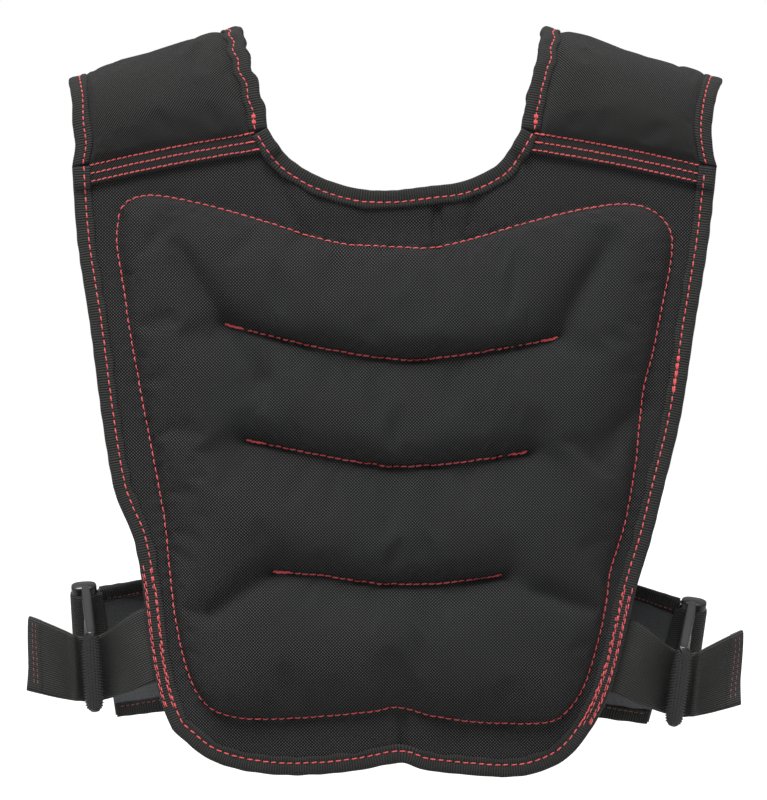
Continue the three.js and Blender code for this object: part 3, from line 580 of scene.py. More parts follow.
for panel_name, facing, panel_inset, panel_fill in (
    ("front_panel", -1, TAPE + CLEAR, FRONT_FILL),
    ("back_panel", 1, TAPE + CLEAR + BACK_INSET, BACK_FILL),
):
    patch = panel_patch(panel_inset)
    flat = patch.reshape(-1, 2)
    share = fill_share(flat)
    depth = panel_depth(flat)
    fullness = START_FILL

    def in_space(points, out):
        return np.column_stack([points[:, 0], facing * out, points[:, 1]])

    outer = in_space(flat, depth + BORDER / 2 + fullness * panel_fill * share)
    inner = in_space(flat, depth - BORDER / 2 - INNER_FILL * share)
    size = patch.shape[:2]
    whole, faces = shell(outer.reshape(*size, 3), inner.reshape(*size, 3))
    seam_gap = np.min([nearest(line, flat)[0] for line in [pocket_line, *quilt_lines]], axis=0)
    is_free = is_inside(pocket_line, flat) & (seam_gap > HELD_SEAM)
    held = np.concatenate([~is_free, np.ones(len(flat), bool)])
    outer = swell(whole, faces, held, PANEL_PRESSURE, PANEL_GROWTH, PANEL_CAP)[:len(flat)]
    fine = finer(outer.reshape(*size, 3))
    fine_flat = finer(patch).reshape(-1, 2)
    pocket_gap, pocket_place = nearest(pocket_line, fine_flat)
    crease = np.exp(-((pocket_gap / CREASE_WIDTH) ** 2)) * 0.6
    seam_gap, seam_place = pocket_gap, pocket_place
    for line in quilt_lines:
        gap, place = nearest(line, fine_flat)
        crease = np.maximum(crease, np.exp(-((gap / CREASE_WIDTH) ** 2)))
        seam_place = np.where(gap < seam_gap, place, seam_place)
        seam_gap = np.minimum(gap, seam_gap)
    pucker = wander(seam_place, 11, 0.019, 0.008) * np.exp(-((seam_gap / PUCKER_REACH) ** 2))
    lift = PUCKER * pucker - CREASE * crease
    for across, down, to_across, to_down, depth, width in CREASES:
        valley = np.array([(across, down), (to_across, to_down)]) * PANEL_SCALE
        lift -= depth * np.exp(-((nearest(valley, fine_flat)[0] / width) ** 2))
    fine = fine.reshape(-1, 3)
    fine[:, 1] += facing * lift
    fine_size = (2 * size[0] - 1, 2 * size[1] - 1)
    points, faces = shell(fine.reshape(*fine_size, 3), inner.reshape(*size, 3))
    attributes = {
        "cloth": on_sheet(np.vstack([fine_flat, flat])),
        "seam": np.concatenate([seam_gap, np.full(len(flat), 1.0)]),
        "along": np.concatenate([seam_place, np.zeros(len(flat))]),
    }
    panel = add_piece(f"{panel_name}_cloth", points, faces, attributes, canvas, [panel_name])
    panel_surfaces[panel_name] = (points, faces)


# Panel bindings
# A ribbed black tape is folded over each raw edge of a panel and sewn through with one row of stitches.
# It rides up a little between the stitches, and near the shoulders it also covers the pads' hems.
TAPE_LEG = 0.011
STITCH_IN = 0.0066  # from the tape's outer edge to its row of stitches
HEM = 0.015
HEM_BOW = 0.0016
PAD_EDGE = 0.0026
TAPE_STEP = 0.0026
TAPE_LEG_CUT = 0.0007  # how far short of the tape's edge it is already thinner
TAPE_RIDGE = 0.0014  # how far beside its stitches the tape rides up
RIB = 0.0017
BAND_SHEEN = {"Specular IOR Level": 0.2, "Sheen Weight": 0.03, "Sheen Roughness": 0.5}


def seam_height(x):
    """Height of the line where a pad's hem starts to lie on a panel."""
    arm = np.where(x < 0, LEFT_EDGE[-1][0], RIGHT_EDGE[-1][0]) * HALF_WIDTH
    arm_down = LEFT_EDGE[-1][1]
    neck = np.where(x < 0, NECK_EDGE[0][0], NECK_EDGE[-1][0]) * HALF_WIDTH
    neck_down = NECK_EDGE[0][1]
    share = np.clip((x - arm) / (neck - arm), 0, 1)
    return -DROP * (arm_down + (neck_down - arm_down) * share) + HEM_BOW * np.sin(math.pi * share)


def unit(vectors):
    return vectors / np.linalg.norm(vectors, axis=-1, keepdims=True)


def tape_finish(name, colour, rib, relief):
    """A ribbed tape: ribs across it, crossed by fine yarns, with painted highlight on the rib tops and
    painted shade in the grooves.
    """
    finish, tape, place = new_finish(name)
    along, across = drifting(tape, place, 90.0, rib * 0.9, rib * 0.5)
    ribs = along.wave(rib)
    yarns = across.wave(rib * 0.5)
    fuzz = speckled(tape, place, 1300.0, 3.0)
    broad = speckled(tape, place, 60.0, 3.0)
    # Painted highlight and painted shade: lighter on the rib tops and darker in the grooves, following the
    # ribs and yarns of the bump. The fuzz and broad patches are the tape's own uneven colour.
    tone = 1 + 0.8 * ribs + 0.3 * yarns + 2.0 * (fuzz - 0.5) + 0.8 * (broad - 0.5)
    tone = tape.maths("MAXIMUM", tone, DARKEST)
    height = relief * (ribs + 0.25 * yarns + 0.7 * fuzz)
    return finish_off(finish, tape, colour, tone, 0.72 + 0.2 * (fuzz - 0.5), height, 0.9, BAND_SHEEN)


tape_surfaces = {}
ribbed_tape = tape_finish("ribbed_tape", (0.0105, 0.0103, 0.0098), RIB, 0.00026)


def bind_edge(node, edge, inward, out, out_face, in_face, leg, seed):
    """Folds tape over an edge, and returns the rows for its stitches on both faces.

    Each point of the edge has the way in along the cloth, the way out of its face, and how far
    each face of what the tape covers lies from the point.
    """
    marks = travelled(edge)
    uneven = wander(marks, seed, 0.06, 0.014)
    ruffle = wander(marks, seed + 1, 0.02, 0.007)
    leg_end = leg * (1 + 0.05 * uneven)
    middle = (out_face - in_face) / 2
    half = (out_face + in_face) / 2
    nose = CLEAR + TAPE * (1 + 0.12 * ruffle)
    level = np.zeros(len(marks))
    # From the leg's end to the fold: how far in each line of the tape lies, and its share of the thickness.
    stitches = level + STITCH_IN
    leg_lines = (
        (leg_end, 0.15), (leg_end - TAPE_LEG_CUT, 0.85), ((leg_end + STITCH_IN) / 2, 1.1),
        (stitches + TAPE_RIDGE, 0.95), (stitches, 0.5), (stitches - TAPE_RIDGE, 0.95),
        (0.3 * stitches, 1.15), (level, 1.0),
    )
    outer_profile = []
    inner_profile = []
    for reach, rise in leg_lines:
        outer_profile.append((reach, out_face + TAPE * (rise + 0.16 * ruffle * (rise > 0.9))))
        inner_profile.append((reach, out_face))
    for angle in np.radians([60, 30, 0, -30, -60]):
        outer_profile.append((-nose * math.cos(angle), middle + (half + TAPE) * math.sin(angle)))
        inner_profile.append((level - CLEAR * math.cos(angle), middle + half * math.sin(angle)))
    for reach, rise in leg_lines[::-1]:
        outer_profile.append((reach, -in_face - TAPE * (rise + 0.16 * ruffle * (rise > 0.9))))
        inner_profile.append((reach, -in_face))

    def grid_of(profile):
        rows = [edge + reach[:, None] * inward + height[:, None] * out for reach, height in profile]
        return np.stack(rows, axis=1)

    outer, inner = grid_of(outer_profile), grid_of(inner_profile)
    points, faces = shell(outer, inner)
    around = np.mean([travelled(section) for section in outer[::20]], axis=0)
    place = np.stack(np.meshgrid(marks, around, indexing="ij"), axis=-1).reshape(-1, 2)
    attributes = {"cloth": on_sheet(np.vstack([place, place]))}
    add_piece(f"{node}_tape", points, faces, attributes, ribbed_tape, [node])
    tape_surfaces[node] = (points, faces)
    sewn = edge + STITCH_IN * inward
    return {
        "front": (sewn + (out_face + 0.6 * TAPE)[:, None] * out, out),
        "back": (sewn - (in_face + 0.6 * TAPE)[:, None] * out, -out),
    }


def bind_rows(node, joined, marks, last, face, leg, seed):
    """Binds an edge whose rows hold a point, the way in and the way out, read evenly up to a mark."""
    count = int(marks[-1] / TAPE_STEP)
    even = at_marks(np.linspace(0, last, count + 1), marks, joined)
    inward = unit(even[:, 3:6])
    out = unit(even[:, 6:])
    faces = np.full(count + 1, face)
    tape_rows[node] = bind_edge(node, even[:, :3], inward, out, faces, faces, leg, seed)


def on_panel(flat_points, facing):
    return np.column_stack([flat_points[:, 0], facing * panel_depth(flat_points), flat_points[:, 1]])


tape_rows = {}
panel_edges = {}
for panel_name, facing, panel_inset in (
    ("front", -1, TAPE + CLEAR), ("back", 1, TAPE + CLEAR + BACK_INSET),
):
    bottom, right, neck, left = panel_sides(panel_inset)
    panel_edges[panel_name] = {"left": left, "right": right, "neck": neck, "bottom": bottom}
    round_edge = np.vstack([left[::-1], bottom[1:], right[1:]])
    for part, line, seed in (("binding", round_edge, 21), ("neck_binding", neck[::-1], 23)):
        flat_edge = even_points(line, int(travelled(line)[-1] / TAPE_STEP))
        way = unit(np.gradient(flat_edge, axis=0))
        in_way = np.column_stack([-way[:, 1], way[:, 0]])
        edge = on_panel(flat_edge, facing)
        inward = unit(on_panel(flat_edge + TAPE_LEG * in_way, facing) - edge)
        marks = travelled(flat_edge)
        end_gap = np.minimum(marks, marks[-1] - marks)
        above = flat_edge[:, 1] - (seam_height(flat_edge[:, 0]) - HEM)
        padded_share = smooth_share(above / 0.003 + 0.5) * (end_gap < 0.04)
        out_face = BORDER / 2 + CLEAR + (CLEAR + PAD_EDGE) * padded_share
        in_face = np.full(len(edge), BORDER / 2 + CLEAR)
        out = np.tile([0.0, facing, 0.0], (len(edge), 1))
        node = f"{panel_name}_{part}"
        tape_rows[node] = bind_edge(node, edge, inward, out, out_face, in_face, TAPE_LEG, seed + facing)


# Shoulder pads
# Each is a soft foam pad in a finer, twilled cloth than the panels. It arches over the shoulder, its hems
# lie on both panels under three rows of stitches, and tape binds its armhole and neck edges.
PAD_FILL = 0.0062
PAD_RAMP = 0.016
PAD_FLANGE = 0.0115
PAD_TOP_SLACK = 0.45
PAD_HEM_RAMP = 0.018
TOP_OUTER = -0.005
TOP_INNER = 0.030
PAD_COLUMNS = 48
PAD_HEM_ROWS = 6
PAD_ARCH_ROWS = 72
PAD_PRESSURE = 2.0
PAD_GROWTH = 0.008
PAD_CAP = 0.002
PAD_HELD = 0.002
PAD_STITCHES = (0.0022, 0.0076, 0.0133)  # how far up a hem each of its rows of stitches lies
ARM_WAVE = 0.0009  # how far a pad's edges stray at the armhole and at the neck
NECK_WAVE = 0.0012
WAVE_ROWS = 8  # rows over which they start to stray, away from the panels
# Edges over the arch, in shares across: turn, left outer, left inner, right inner, right outer.
PAD_EDGES = [
    (0, -0.983, -0.382, 0.398, 0.998),
    (0.1, -0.974, -0.398, 0.414, 0.981),
    (0.24, -0.985, -0.437, 0.445, 0.992),
    (0.37, -0.992, -0.455, 0.457, 1.007),
    (0.5, -0.995, -0.468, 0.462, 1.018),
]
pad_cloth = woven_finish("pad_cloth", (0.0124, 0.0124, 0.0121), 0.00066, 3.0, 0.00024, 0.68, 0.02,
                         stitch=0.0036, twill=True)
pad_edge_line = smooth_line(PAD_EDGES)
pad_surfaces = {}


def hem_ends(side, panel_name):
    """Flat points where a pad's hem starts and ends at the armhole and at the neck."""
    edges = panel_edges[panel_name]
    arm = edges[side][::-1]
    neck = edges["neck"] if side == "left" else edges["neck"][::-1]
    ends = []
    for line in (arm, neck):
        above = line[:, 1] - seam_height(line[:, 0]) + HEM
        crossing = np.argmax(above < 0)
        share = above[crossing - 1] / (above[crossing - 1] - above[crossing])
        ends.append((line[0], line[crossing - 1] + share * (line[crossing] - line[crossing - 1])))
    return ends


def hem_line(ends, share_down, across):
    """Flat points at shares of the way across a pad's hem, from the armhole to the neck."""
    (arm_top, arm_low), (neck_top, neck_low) = ends
    start = arm_top + share_down * (arm_low - arm_top)
    end = neck_top + share_down * (neck_low - neck_top)
    flat = start + across[:, None] * (end - start)
    flat[:, 1] += HEM_BOW * np.sin(math.pi * across)
    return flat


def hem_row(ends, share_down, facing):
    """A row of a pad's grid, where its hem lies on a panel."""
    flat = hem_line(ends, share_down, np.linspace(0, 1, PAD_COLUMNS + 1))
    depth = panel_depth(flat) + BORDER / 2 + CLEAR + PAD_EDGE / 2
    return np.column_stack([flat[:, 0], facing * depth, flat[:, 1]])


def grid_normals(grid):
    """The way out of a grid's face at each of its points."""
    return unit(np.cross(np.gradient(grid, axis=1), np.gradient(grid, axis=0)))


def grid_lengths(grid):
    """How far each point of a grid is down its column and along its row."""
    down = np.stack([travelled(grid[:, i]) for i in range(grid.shape[1])], axis=1)
    return down, np.stack([travelled(row) for row in grid])


for side, hand in (("left", -1), ("right", 1)):
    shares_down = np.arange(PAD_HEM_ROWS + 1) / PAD_HEM_ROWS
    front_rows = [hem_row(hem_ends(side, "front"), 1 - share, -1) for share in shares_down]
    back_rows = [hem_row(hem_ends(side, "back"), share, 1) for share in shares_down]
    across = np.linspace(0, 1, PAD_COLUMNS + 1)
    arch = []
    for turn in np.linspace(0, 1, PAD_ARCH_ROWS + 1)[1:-1]:
        shares = at_marks(min(turn, 1 - turn), pad_edge_line[:, 0], pad_edge_line)
        outer_share, inner_share = shares[[1, 2]] if hand < 0 else shares[[4, 3]]
        outer_x = outer_share * HALF_WIDTH - hand * (TAPE + CLEAR)
        inner_x = inner_share * HALF_WIDTH + hand * (TAPE + CLEAR)
        swing = (1 - math.cos(math.pi * turn)) / 2
        rise = math.sin(math.pi * turn)
        foot = front_rows[-1] * (1 - swing) + back_rows[0] * swing
        top = TOP_OUTER + (TOP_INNER - TOP_OUTER) * across - PAD_EDGE
        x = outer_x + (inner_x - outer_x) * across
        arch.append(np.column_stack([x, foot[:, 1], foot[:, 2] + (top - foot[:, 2]) * rise]))
    grid = np.stack([*front_rows, *arch, *back_rows])
    rows = len(grid)
    arm_wave = ARM_WAVE * wander(travelled(grid[:, 0]), 31 + hand, 0.05, 0.03)
    neck_wave = NECK_WAVE * wander(travelled(grid[:, -1]), 35 + hand, 0.024, 0.016)
    row_numbers = np.arange(rows)
    end_rows = np.minimum(row_numbers, rows - 1 - row_numbers) - PAD_HEM_ROWS
    settled = smooth_share(end_rows / WAVE_ROWS)
    grid[:, :, 0] += (arm_wave * settled)[:, None] * (1 - across) ** 3
    grid[:, :, 0] += (neck_wave * settled)[:, None] * across**3
    normals = grid_normals(grid)
    normals *= np.sign(normals[rows // 2, PAD_COLUMNS // 2, 2])
    lengths, widths = grid_lengths(grid)
    edge_gap = np.minimum(widths, widths[:, -1:] - widths)
    hem_gap = np.minimum(lengths, lengths[-1:] - lengths) - HEM
    height = bulge(np.maximum(edge_gap - PAD_FLANGE, 0), PAD_RAMP)
    height *= bulge(np.maximum(hem_gap, 0), PAD_HEM_RAMP)
    height *= 1 - PAD_TOP_SLACK * np.sin(math.pi * row_numbers / (rows - 1))[:, None] ** 2
    fullness = START_FILL
    outer = grid + normals * (PAD_EDGE / 2 + fullness * PAD_FILL * height)[..., None]
    inner = grid - normals * (PAD_EDGE / 2 + 0.4 * PAD_FILL * height)[..., None]
    whole, faces = shell(outer, inner)
    is_free = ((edge_gap > PAD_FLANGE + PAD_HELD) & (hem_gap > PAD_HELD)).ravel()
    held = np.concatenate([~is_free, np.ones(is_free.size, bool)])
    swollen = swell(whole, faces, held, PAD_PRESSURE, PAD_GROWTH, PAD_CAP)
    outer = swollen[:is_free.size].reshape(grid.shape)
    points, faces = shell(finer(outer), inner)
    flat_place = np.stack([widths, lengths], axis=-1)
    place = np.vstack([finer(flat_place).reshape(-1, 2), flat_place.reshape(-1, 2)])
    hem_place = np.abs(np.minimum(place[:, 1], lengths[-1].mean() - place[:, 1]))
    row_gaps = np.min([np.abs(hem_place - row) for row in PAD_STITCHES], axis=0)
    attributes = {"cloth": on_sheet(place), "seam": row_gaps, "along": place[:, 0]}
    pad = add_piece(f"shoulder_pad_{side}_cloth", points, faces, attributes, pad_cloth,
                    [f"shoulder_pad_{side}"])
    pad_surfaces[side] = (points, faces)

    bound = slice(PAD_HEM_ROWS, rows - PAD_HEM_ROWS)
    for part, column, beside in (("arm", 0, 1), ("neck", PAD_COLUMNS, PAD_COLUMNS - 1)):
        edge = grid[bound, column]
        inward = unit(grid[bound, beside] - edge)
        joined = np.hstack([edge, inward, normals[bound, column]])
        marks = travelled(edge)
        bind_rows(f"shoulder_{part}_binding_{side}", joined, marks, marks[-1], PAD_EDGE / 2 + CLEAR, TAPE_LEG,
                  41 + column + hand)


# Side wings
# A flat padded band in smooth black lining comes forward from under each side of the back panel. Its top
# and bottom edges are bound with the same tape, and its end is sewn to the webbing loop of the slide.
WING_THICK = 0.005
WING_EDGE = 0.003
WING_LEG = 0.009
WING_FLANGE = 0.004
WING_RAMP = 0.014
WING_DENT = 0.0006
WING_LAP = 0.014
WING_TILT = math.radians(22)
WING_COLUMNS = 36
WING_ROWS = 30
SLIDE_PITCH = 0.066
SLIDE_PITCHED = math.radians(28)
SLIDE_YAW = math.radians(3.5)
# Slides: place in shares across and down, and degrees that each top leans outwards.
SLIDES = {"left": (-1, 0.9335, 0.8205, 4.4), "right": (1, 0.9, 0.842, 9)}
# Wings: heights at the panel's edge, top and bottom, then the ends' places across and down.
WINGS = {
    "left": (0.725, 0.908, 0.91, 0.738, 0.858, 0.918),
    "right": (0.73, 0.917, 0.895, 0.755, 0.798, 0.928),
}
# Painted light: the lining's colour is lifted well above its own black, standing in for the light that falls
# on the wings.
smooth_lining_painted_light = woven_finish("smooth_lining_painted_light", (0.06, 0.0615, 0.064), 0.00035, 0.3, 0.00002, 0.55, 0.06)


def slide_axes(side):
    """A slide's middle, and the three ways across its plane, to its far bar and up its bars."""
    hand, out, down, roll = SLIDES[side]
    turns = (Matrix.Rotation(hand * math.radians(roll), 3, "Y")
             @ Matrix.Rotation(-hand * SLIDE_YAW, 3, "Z")
             @ Matrix.Rotation(SLIDE_PITCHED, 3, "X"))
    return np.array([hand * out * HALF_WIDTH, 0, -down * DROP]), np.array(turns)


def on_slide(side, places):
    middle, axes = slide_axes(side)
    return middle + np.asarray(places) @ axes.T


def under_binding(half):
    """How far inside a panel's middle surface something sewn under its binding lies."""
    return BORDER / 2 + CLEAR + TAPE + CLEAR + half


wing_ends = {}
for side, (top_down, bottom_down, end_top, end_top_down, end_low, end_low_down) in WINGS.items():
    hand = SLIDES[side][0]
    edge = panel_edges["back"][side]
    far = on_slide(side, (0, SLIDE_PITCH / 2, 0))
    lines = []
    for edge_down, end_out, end_down in (
        (top_down, end_top, end_top_down), (bottom_down, end_low, end_low_down),
    ):
        z = -edge_down * DROP
        edge_x = np.interp(z, edge[:, 1], edge[:, 0])
        end = np.array([hand * end_out * HALF_WIDTH, far[1], -end_down * DROP])
        end[1] += (far[2] - end[2]) * math.tan(WING_TILT)
        lap = WING_LAP / (WING_LAP + abs(end[0] - edge_x))
        t = np.linspace(0, 1, WING_COLUMNS + 1)
        x = edge_x - hand * WING_LAP + (end[0] - edge_x + hand * WING_LAP) * t
        z_line = z + (end[2] - z) * np.maximum(t - lap, 0) / (1 - lap)
        start = panel_depth(np.column_stack([x, z_line])) - under_binding(WING_THICK / 2 + TAPE)
        y = start + (end[1] - start) * smooth_share((t - lap) / (1 - lap))
        lines.append(np.column_stack([x, y, z_line]))
    down = np.linspace(0, 1, WING_ROWS + 1)[:, None, None]
    grid = lines[0] * (1 - down) + lines[1] * down
    normals = grid_normals(grid)
    normals *= -np.sign(normals[WING_ROWS // 2, WING_COLUMNS // 2, 1])
    heights, lengths = grid_lengths(grid)
    edge_gap = np.minimum(heights, heights[-1:] - heights)
    soft = bulge(edge_gap - WING_FLANGE, WING_RAMP)
    dents = wander(lengths.ravel() + 0.3 * heights.ravel(), 51 + hand, 0.05, 0.02).reshape(lengths.shape)
    half = WING_EDGE / 2 + (WING_THICK - WING_EDGE) / 2 * soft
    outer = grid + normals * (half + WING_DENT * dents * soft)[..., None]
    inner = grid - normals * half[..., None]
    points, faces = shell(finer(outer), inner)
    flat_place = np.stack([lengths, heights], axis=-1)
    place = np.vstack([finer(flat_place).reshape(-1, 2), flat_place.reshape(-1, 2)])
    attributes = {"cloth": on_sheet(place), "seam": np.full(len(place), 1.0), "along": place[:, 0]}
    wing = add_piece(f"side_wing_{side}_cloth", points, faces, attributes, smooth_lining_painted_light,
                     [f"side_wing_{side}"])
    wing_ends[side] = grid[:, -3]
    for part, row, beside in (("top", 0, 1), ("bottom", WING_ROWS, WING_ROWS - 1)):
        joined = np.hstack([grid[row], unit(grid[beside] - grid[row]), normals[row]])
        marks = lengths[row]
        bind_rows(f"wing_{part}_binding_{side}", joined, marks, marks[-1] - 3 * CLEAR,
                  WING_EDGE / 2 + 2 * CLEAR, WING_LEG, 61 + row + hand)


# Slide buckles
# Each slide is one moulding in hard black plastic: two thick barrel-shaped bars with a raised knurl that
# grips the webbing, a thin smooth bar between them, and a smooth rail across each end. The far bar, which
# the wing's loop holds, has a smooth rounded block at each end.
SLIDE_LENGTH = 0.062
BAR_THICK = 0.0144
BAR_DEEP = 0.0095
MIDDLE_BAR = 0.005
RAIL_WIDE = 0.0055
RAIL_THICK = 0.0065
RAIL_ASIDE = 0.0008  # how far each rail lies towards the panel from the bars' middle
RAIL_REACH = 0.36  # how far past the bars' middles it goes, as a share of their depth
TUBE_SIDES = 20
TUBE_RINGS = 25
END_SHARPNESS = 18  # how suddenly a smooth bar rounds off at its ends
BLOCK_THICK = 0.0172
BLOCK_DEEP = 0.0112
BLOCK_HIGH = 0.0125
KNURL_ROWS = 28
KNURL_COLUMNS = 18
KNURL_HEIGHT = 0.0012
KNURL_STEPS = 6  # rows of points in each row of studs

plastic = bpy.data.materials.new("moulded_plastic")
plastic.use_nodes = True
moulded = Socket(plastic.node_tree)
moulded_place = moulded.add("TexCoord", {}, {}, "Object")
grain = speckled(moulded, moulded_place, 1500.0, 3.0)
scuffs = speckled(moulded, moulded_place, 120.0, 5.0)
tint = moulded.add("Mix", {"data_type": "RGBA"},
                   {0: scuffs, 6: (0.005, 0.005, 0.0052, 1), 7: (0.011, 0.011, 0.0112, 1)}, 2)
bump = moulded.add("Bump", {}, {"Strength": 0.5, "Distance": 1.0, "Height": 0.00004 * grain})
plastic_shader = plastic.node_tree.nodes["Principled BSDF"]
moulded.feed(plastic_shader.inputs["Base Color"], tint)
moulded.feed(plastic_shader.inputs["Roughness"], 0.22 + 0.2 * scuffs)
moulded.feed(plastic_shader.inputs["Normal"], bump)
plastic_shader.inputs["Specular IOR Level"].default_value = 0.36


def tube_faces(count, sides):
    """The faces between the rings of a tube, and the corners of a ring with those that follow them."""
    ring = np.arange(sides)
    following = (ring + 1) % sides
    starts = (np.arange(count - 1) * sides)[:, None]
    corners = [ring + starts, following + starts, following + starts + sides, ring + starts + sides]
    return np.stack(corners, axis=-1).reshape(-1, 4), ring, following


def closed_tube(rings):
    """The points and faces of a tube through rings of points, with faces over each end."""
    count, sides = rings.shape[:2]
    faces, ring, following = tube_faces(count, sides)
    faces = faces.tolist()
    ends = [rings[0].mean(axis=0), rings[-1].mean(axis=0)]
    points = np.vstack([rings.reshape(-1, 3), *[end[None] for end in ends]])
    first_end = count * sides
    faces += np.column_stack([following, ring, np.full(sides, first_end)]).tolist()
    last = (count - 1) * sides
    faces += np.column_stack([ring + last, following + last, np.full(sides, first_end + 1)]).tolist()
    return points, faces


def knurled_bar(offset):
    """A barrel-shaped bar with staggered studs, in the slide's own axes."""
    rows = KNURL_ROWS * KNURL_STEPS
    sides = KNURL_COLUMNS * KNURL_STEPS
    along = np.linspace(-1, 1, rows + 1)
    angle = np.linspace(0, 2 * math.pi, sides, endpoint=False)
    barrel = np.sqrt(np.clip(1 - 0.42 * np.abs(along) ** 2.6, 0, 1))
    barrel *= np.sqrt(np.clip((1 - np.abs(along) ** 14), 0, 1))
    column_wave = np.cos(KNURL_COLUMNS / 2 * angle)[None]
    row_wave = np.cos(math.pi * KNURL_ROWS * along)[:, None] * np.sign(column_wave)
    knurled = smooth_share((0.93 - np.abs(along)) / 0.04)[:, None]
    stud_height = KNURL_HEIGHT * np.maximum(row_wave, 0) ** 0.7 * np.abs(column_wave) ** 2 * knurled
    thick = (BAR_THICK / 2 - KNURL_HEIGHT) * barrel[:, None] + stud_height
    deep = (BAR_DEEP / 2 - KNURL_HEIGHT) * barrel[:, None] + stud_height
    height = np.repeat(along[:, None] * SLIDE_LENGTH / 2, sides, axis=1)
    return closed_tube(np.stack([thick * np.cos(angle), offset + deep * np.sin(angle), height], axis=-1))


def rounded_bar(start, end, across, up, width, thickness, power):
    """A smooth bar between two points, with a rounded square section."""
    angle = np.linspace(0, 2 * math.pi, TUBE_SIDES, endpoint=False)
    round_x = np.sign(np.cos(angle)) * np.abs(np.cos(angle)) ** power
    round_y = np.sign(np.sin(angle)) * np.abs(np.sin(angle)) ** power
    rings = []
    for t in np.linspace(-1, 1, TUBE_RINGS):
        shrink = math.sqrt(max(1 - abs(t) ** END_SHARPNESS, 0.01))
        place = start + (end - start) * (t + 1) / 2
        section = np.outer(round_x, across) * thickness / 2 + np.outer(round_y, up) * width / 2
        rings.append(place + shrink * section)
    return closed_tube(np.array(rings))


def joined_parts(parts):
    """Points and faces of several closed forms, in one."""
    points = np.vstack([part[0] for part in parts])
    faces = []
    first = 0
    for part_points, part_faces in parts:
        faces += [[corner + first for corner in face] for face in facing_out(part_points, part_faces)]
        first += len(part_points)
    return points, faces


half_pitch = SLIDE_PITCH / 2
half_length = SLIDE_LENGTH / 2
x_way, y_way, z_way = np.eye(3)
for side, (hand, *_) in SLIDES.items():
    middle_end = z_way * (half_length - RAIL_WIDE)
    parts = [
        knurled_bar(-half_pitch),
        knurled_bar(half_pitch),
        rounded_bar(-middle_end, middle_end, x_way, y_way, MIDDLE_BAR, MIDDLE_BAR, 1.0),
    ]
    for end in (-1, 1):
        rail = z_way * end * (half_length - RAIL_WIDE / 2) - x_way * hand * RAIL_ASIDE
        reach = y_way * (half_pitch + BAR_DEEP * RAIL_REACH)
        parts.append(rounded_bar(rail - reach, rail + reach, x_way, z_way, RAIL_WIDE, RAIL_THICK, 0.6))
        block = y_way * half_pitch + z_way * end * half_length
        block_foot = block - z_way * end * BLOCK_HIGH
        parts.append(rounded_bar(block_foot, block, x_way, y_way, BLOCK_DEEP, BLOCK_THICK, 0.7))
    points, faces = joined_parts(parts)
    add_piece(f"slide_buckle_{side}_moulding", on_slide(side, points), faces, {}, plastic,
              [f"slide_buckle_{side}"])


# Webbing
# Black 50 mm elastic webbing, ribbed along its length. A short loop of it holds each slide's far bar to
# the wing. The side strap runs from under the front binding, behind the near bar, to its hemmed free end.
WEB_WIDTH = 0.050
WEB_THICK = 0.002
WEB_LAP = 0.016
TAIL_HEM = 0.0093
TAIL_CURL = 0.0024
ROLL_RISE = 0.0045
ROLL_WIDTH = 0.005
WEB_COLUMNS = 24
STRAP_ROWS = 180
LOOP_ROWS = 40
LOOP_OPEN = math.radians(35)  # half the angle over which the loop is open towards the wing
LEG_ROWS = 6
SELVEDGE = 0.0006
SELVEDGE_THIN = 0.35
TAIL_SETTLE = 0.03  # how far past the bar the free end has taken its curl
TAIL_SPREAD = 0.0016
HEM_STEP = 0.0008  # the length over which the strap grows thicker where its hem starts
LEAVES_BAR = 4  # which point of a strap's path is the one where it comes out from behind the bar
# Straps: height at the panel's edge, its lean, the free end's place and its lean.
STRAPS = {"left": (0.815, 0.149, 1.119, 0.827, -0.1), "right": (0.83, 0.295, 1.075, 0.847, -0.047)}


def webbing_finish(name, colour, rib):
    """Ribbed elastic: cords along it, with fine yarns across, and painted highlight on the cords with painted
    shade between them.
    """
    finish, web, place = new_finish(name)
    along, across = drifting(web, place, 70.0, rib * 0.6, rib * 0.6)
    cords = across.wave(rib)
    ties = (along + across * 0.5).wave(rib * 1.1)
    fuzz = speckled(web, place, 1200.0, 3.0)
    broad = speckled(web, place, 40.0, 3.0)
    # Painted highlight and painted shade: lighter on the cords and ties and darker between them, following
    # the bump. The fuzz and broad patches are the webbing's own uneven colour.
    tone = 1 + 0.9 * cords + 0.6 * ties + 1.8 * (fuzz - 0.5) + 0.8 * (broad - 0.5)
    tone = web.maths("MAXIMUM", tone, DARKEST)
    height = 0.00016 * (cords + 0.6 * ties + 0.8 * fuzz)
    return finish_off(finish, web, colour, tone, 0.66 + 0.2 * (fuzz - 0.5), height, 0.9, BAND_SHEEN)


webbing = webbing_finish("elastic_webbing", (0.0145, 0.0144, 0.0137), 0.0015)


def web_piece(name, grid, thick_out, thick_in, node):
    """A band of webbing on a grid whose rows run along it, with how far each face is from the grid."""
    normals = grid_normals(grid)
    normals *= -np.sign(normals[len(grid) // 2, WEB_COLUMNS // 2, 1])
    lengths, widths = grid_lengths(grid)
    edge_gap = np.minimum(widths, widths[:, -1:] - widths)
    selvedge = np.sqrt(np.clip(edge_gap / SELVEDGE, SELVEDGE_THIN, 1))
    outer = grid + normals * (thick_out * selvedge)[..., None]
    inner = grid - normals * (thick_in * selvedge)[..., None]
    points, faces = shell(outer, inner)
    place = np.stack([lengths, widths], axis=-1).reshape(-1, 2)
    attributes = {"cloth": on_sheet(np.vstack([place, place]))}
    piece = add_piece(name, points, faces, attributes, webbing, [node])
    return piece, outer, normals, lengths.mean(axis=1)[-1]


def on_binding(points):
    """The depth at which webbing lies under the front binding."""
    return under_binding(WEB_THICK / 2) - panel_depth(points[..., [0, 2]])


def leaning(out):
    """The way up of a band that leans to the right by a share of its height."""
    return np.array([out, 0, 1]) / math.hypot(out, 1)


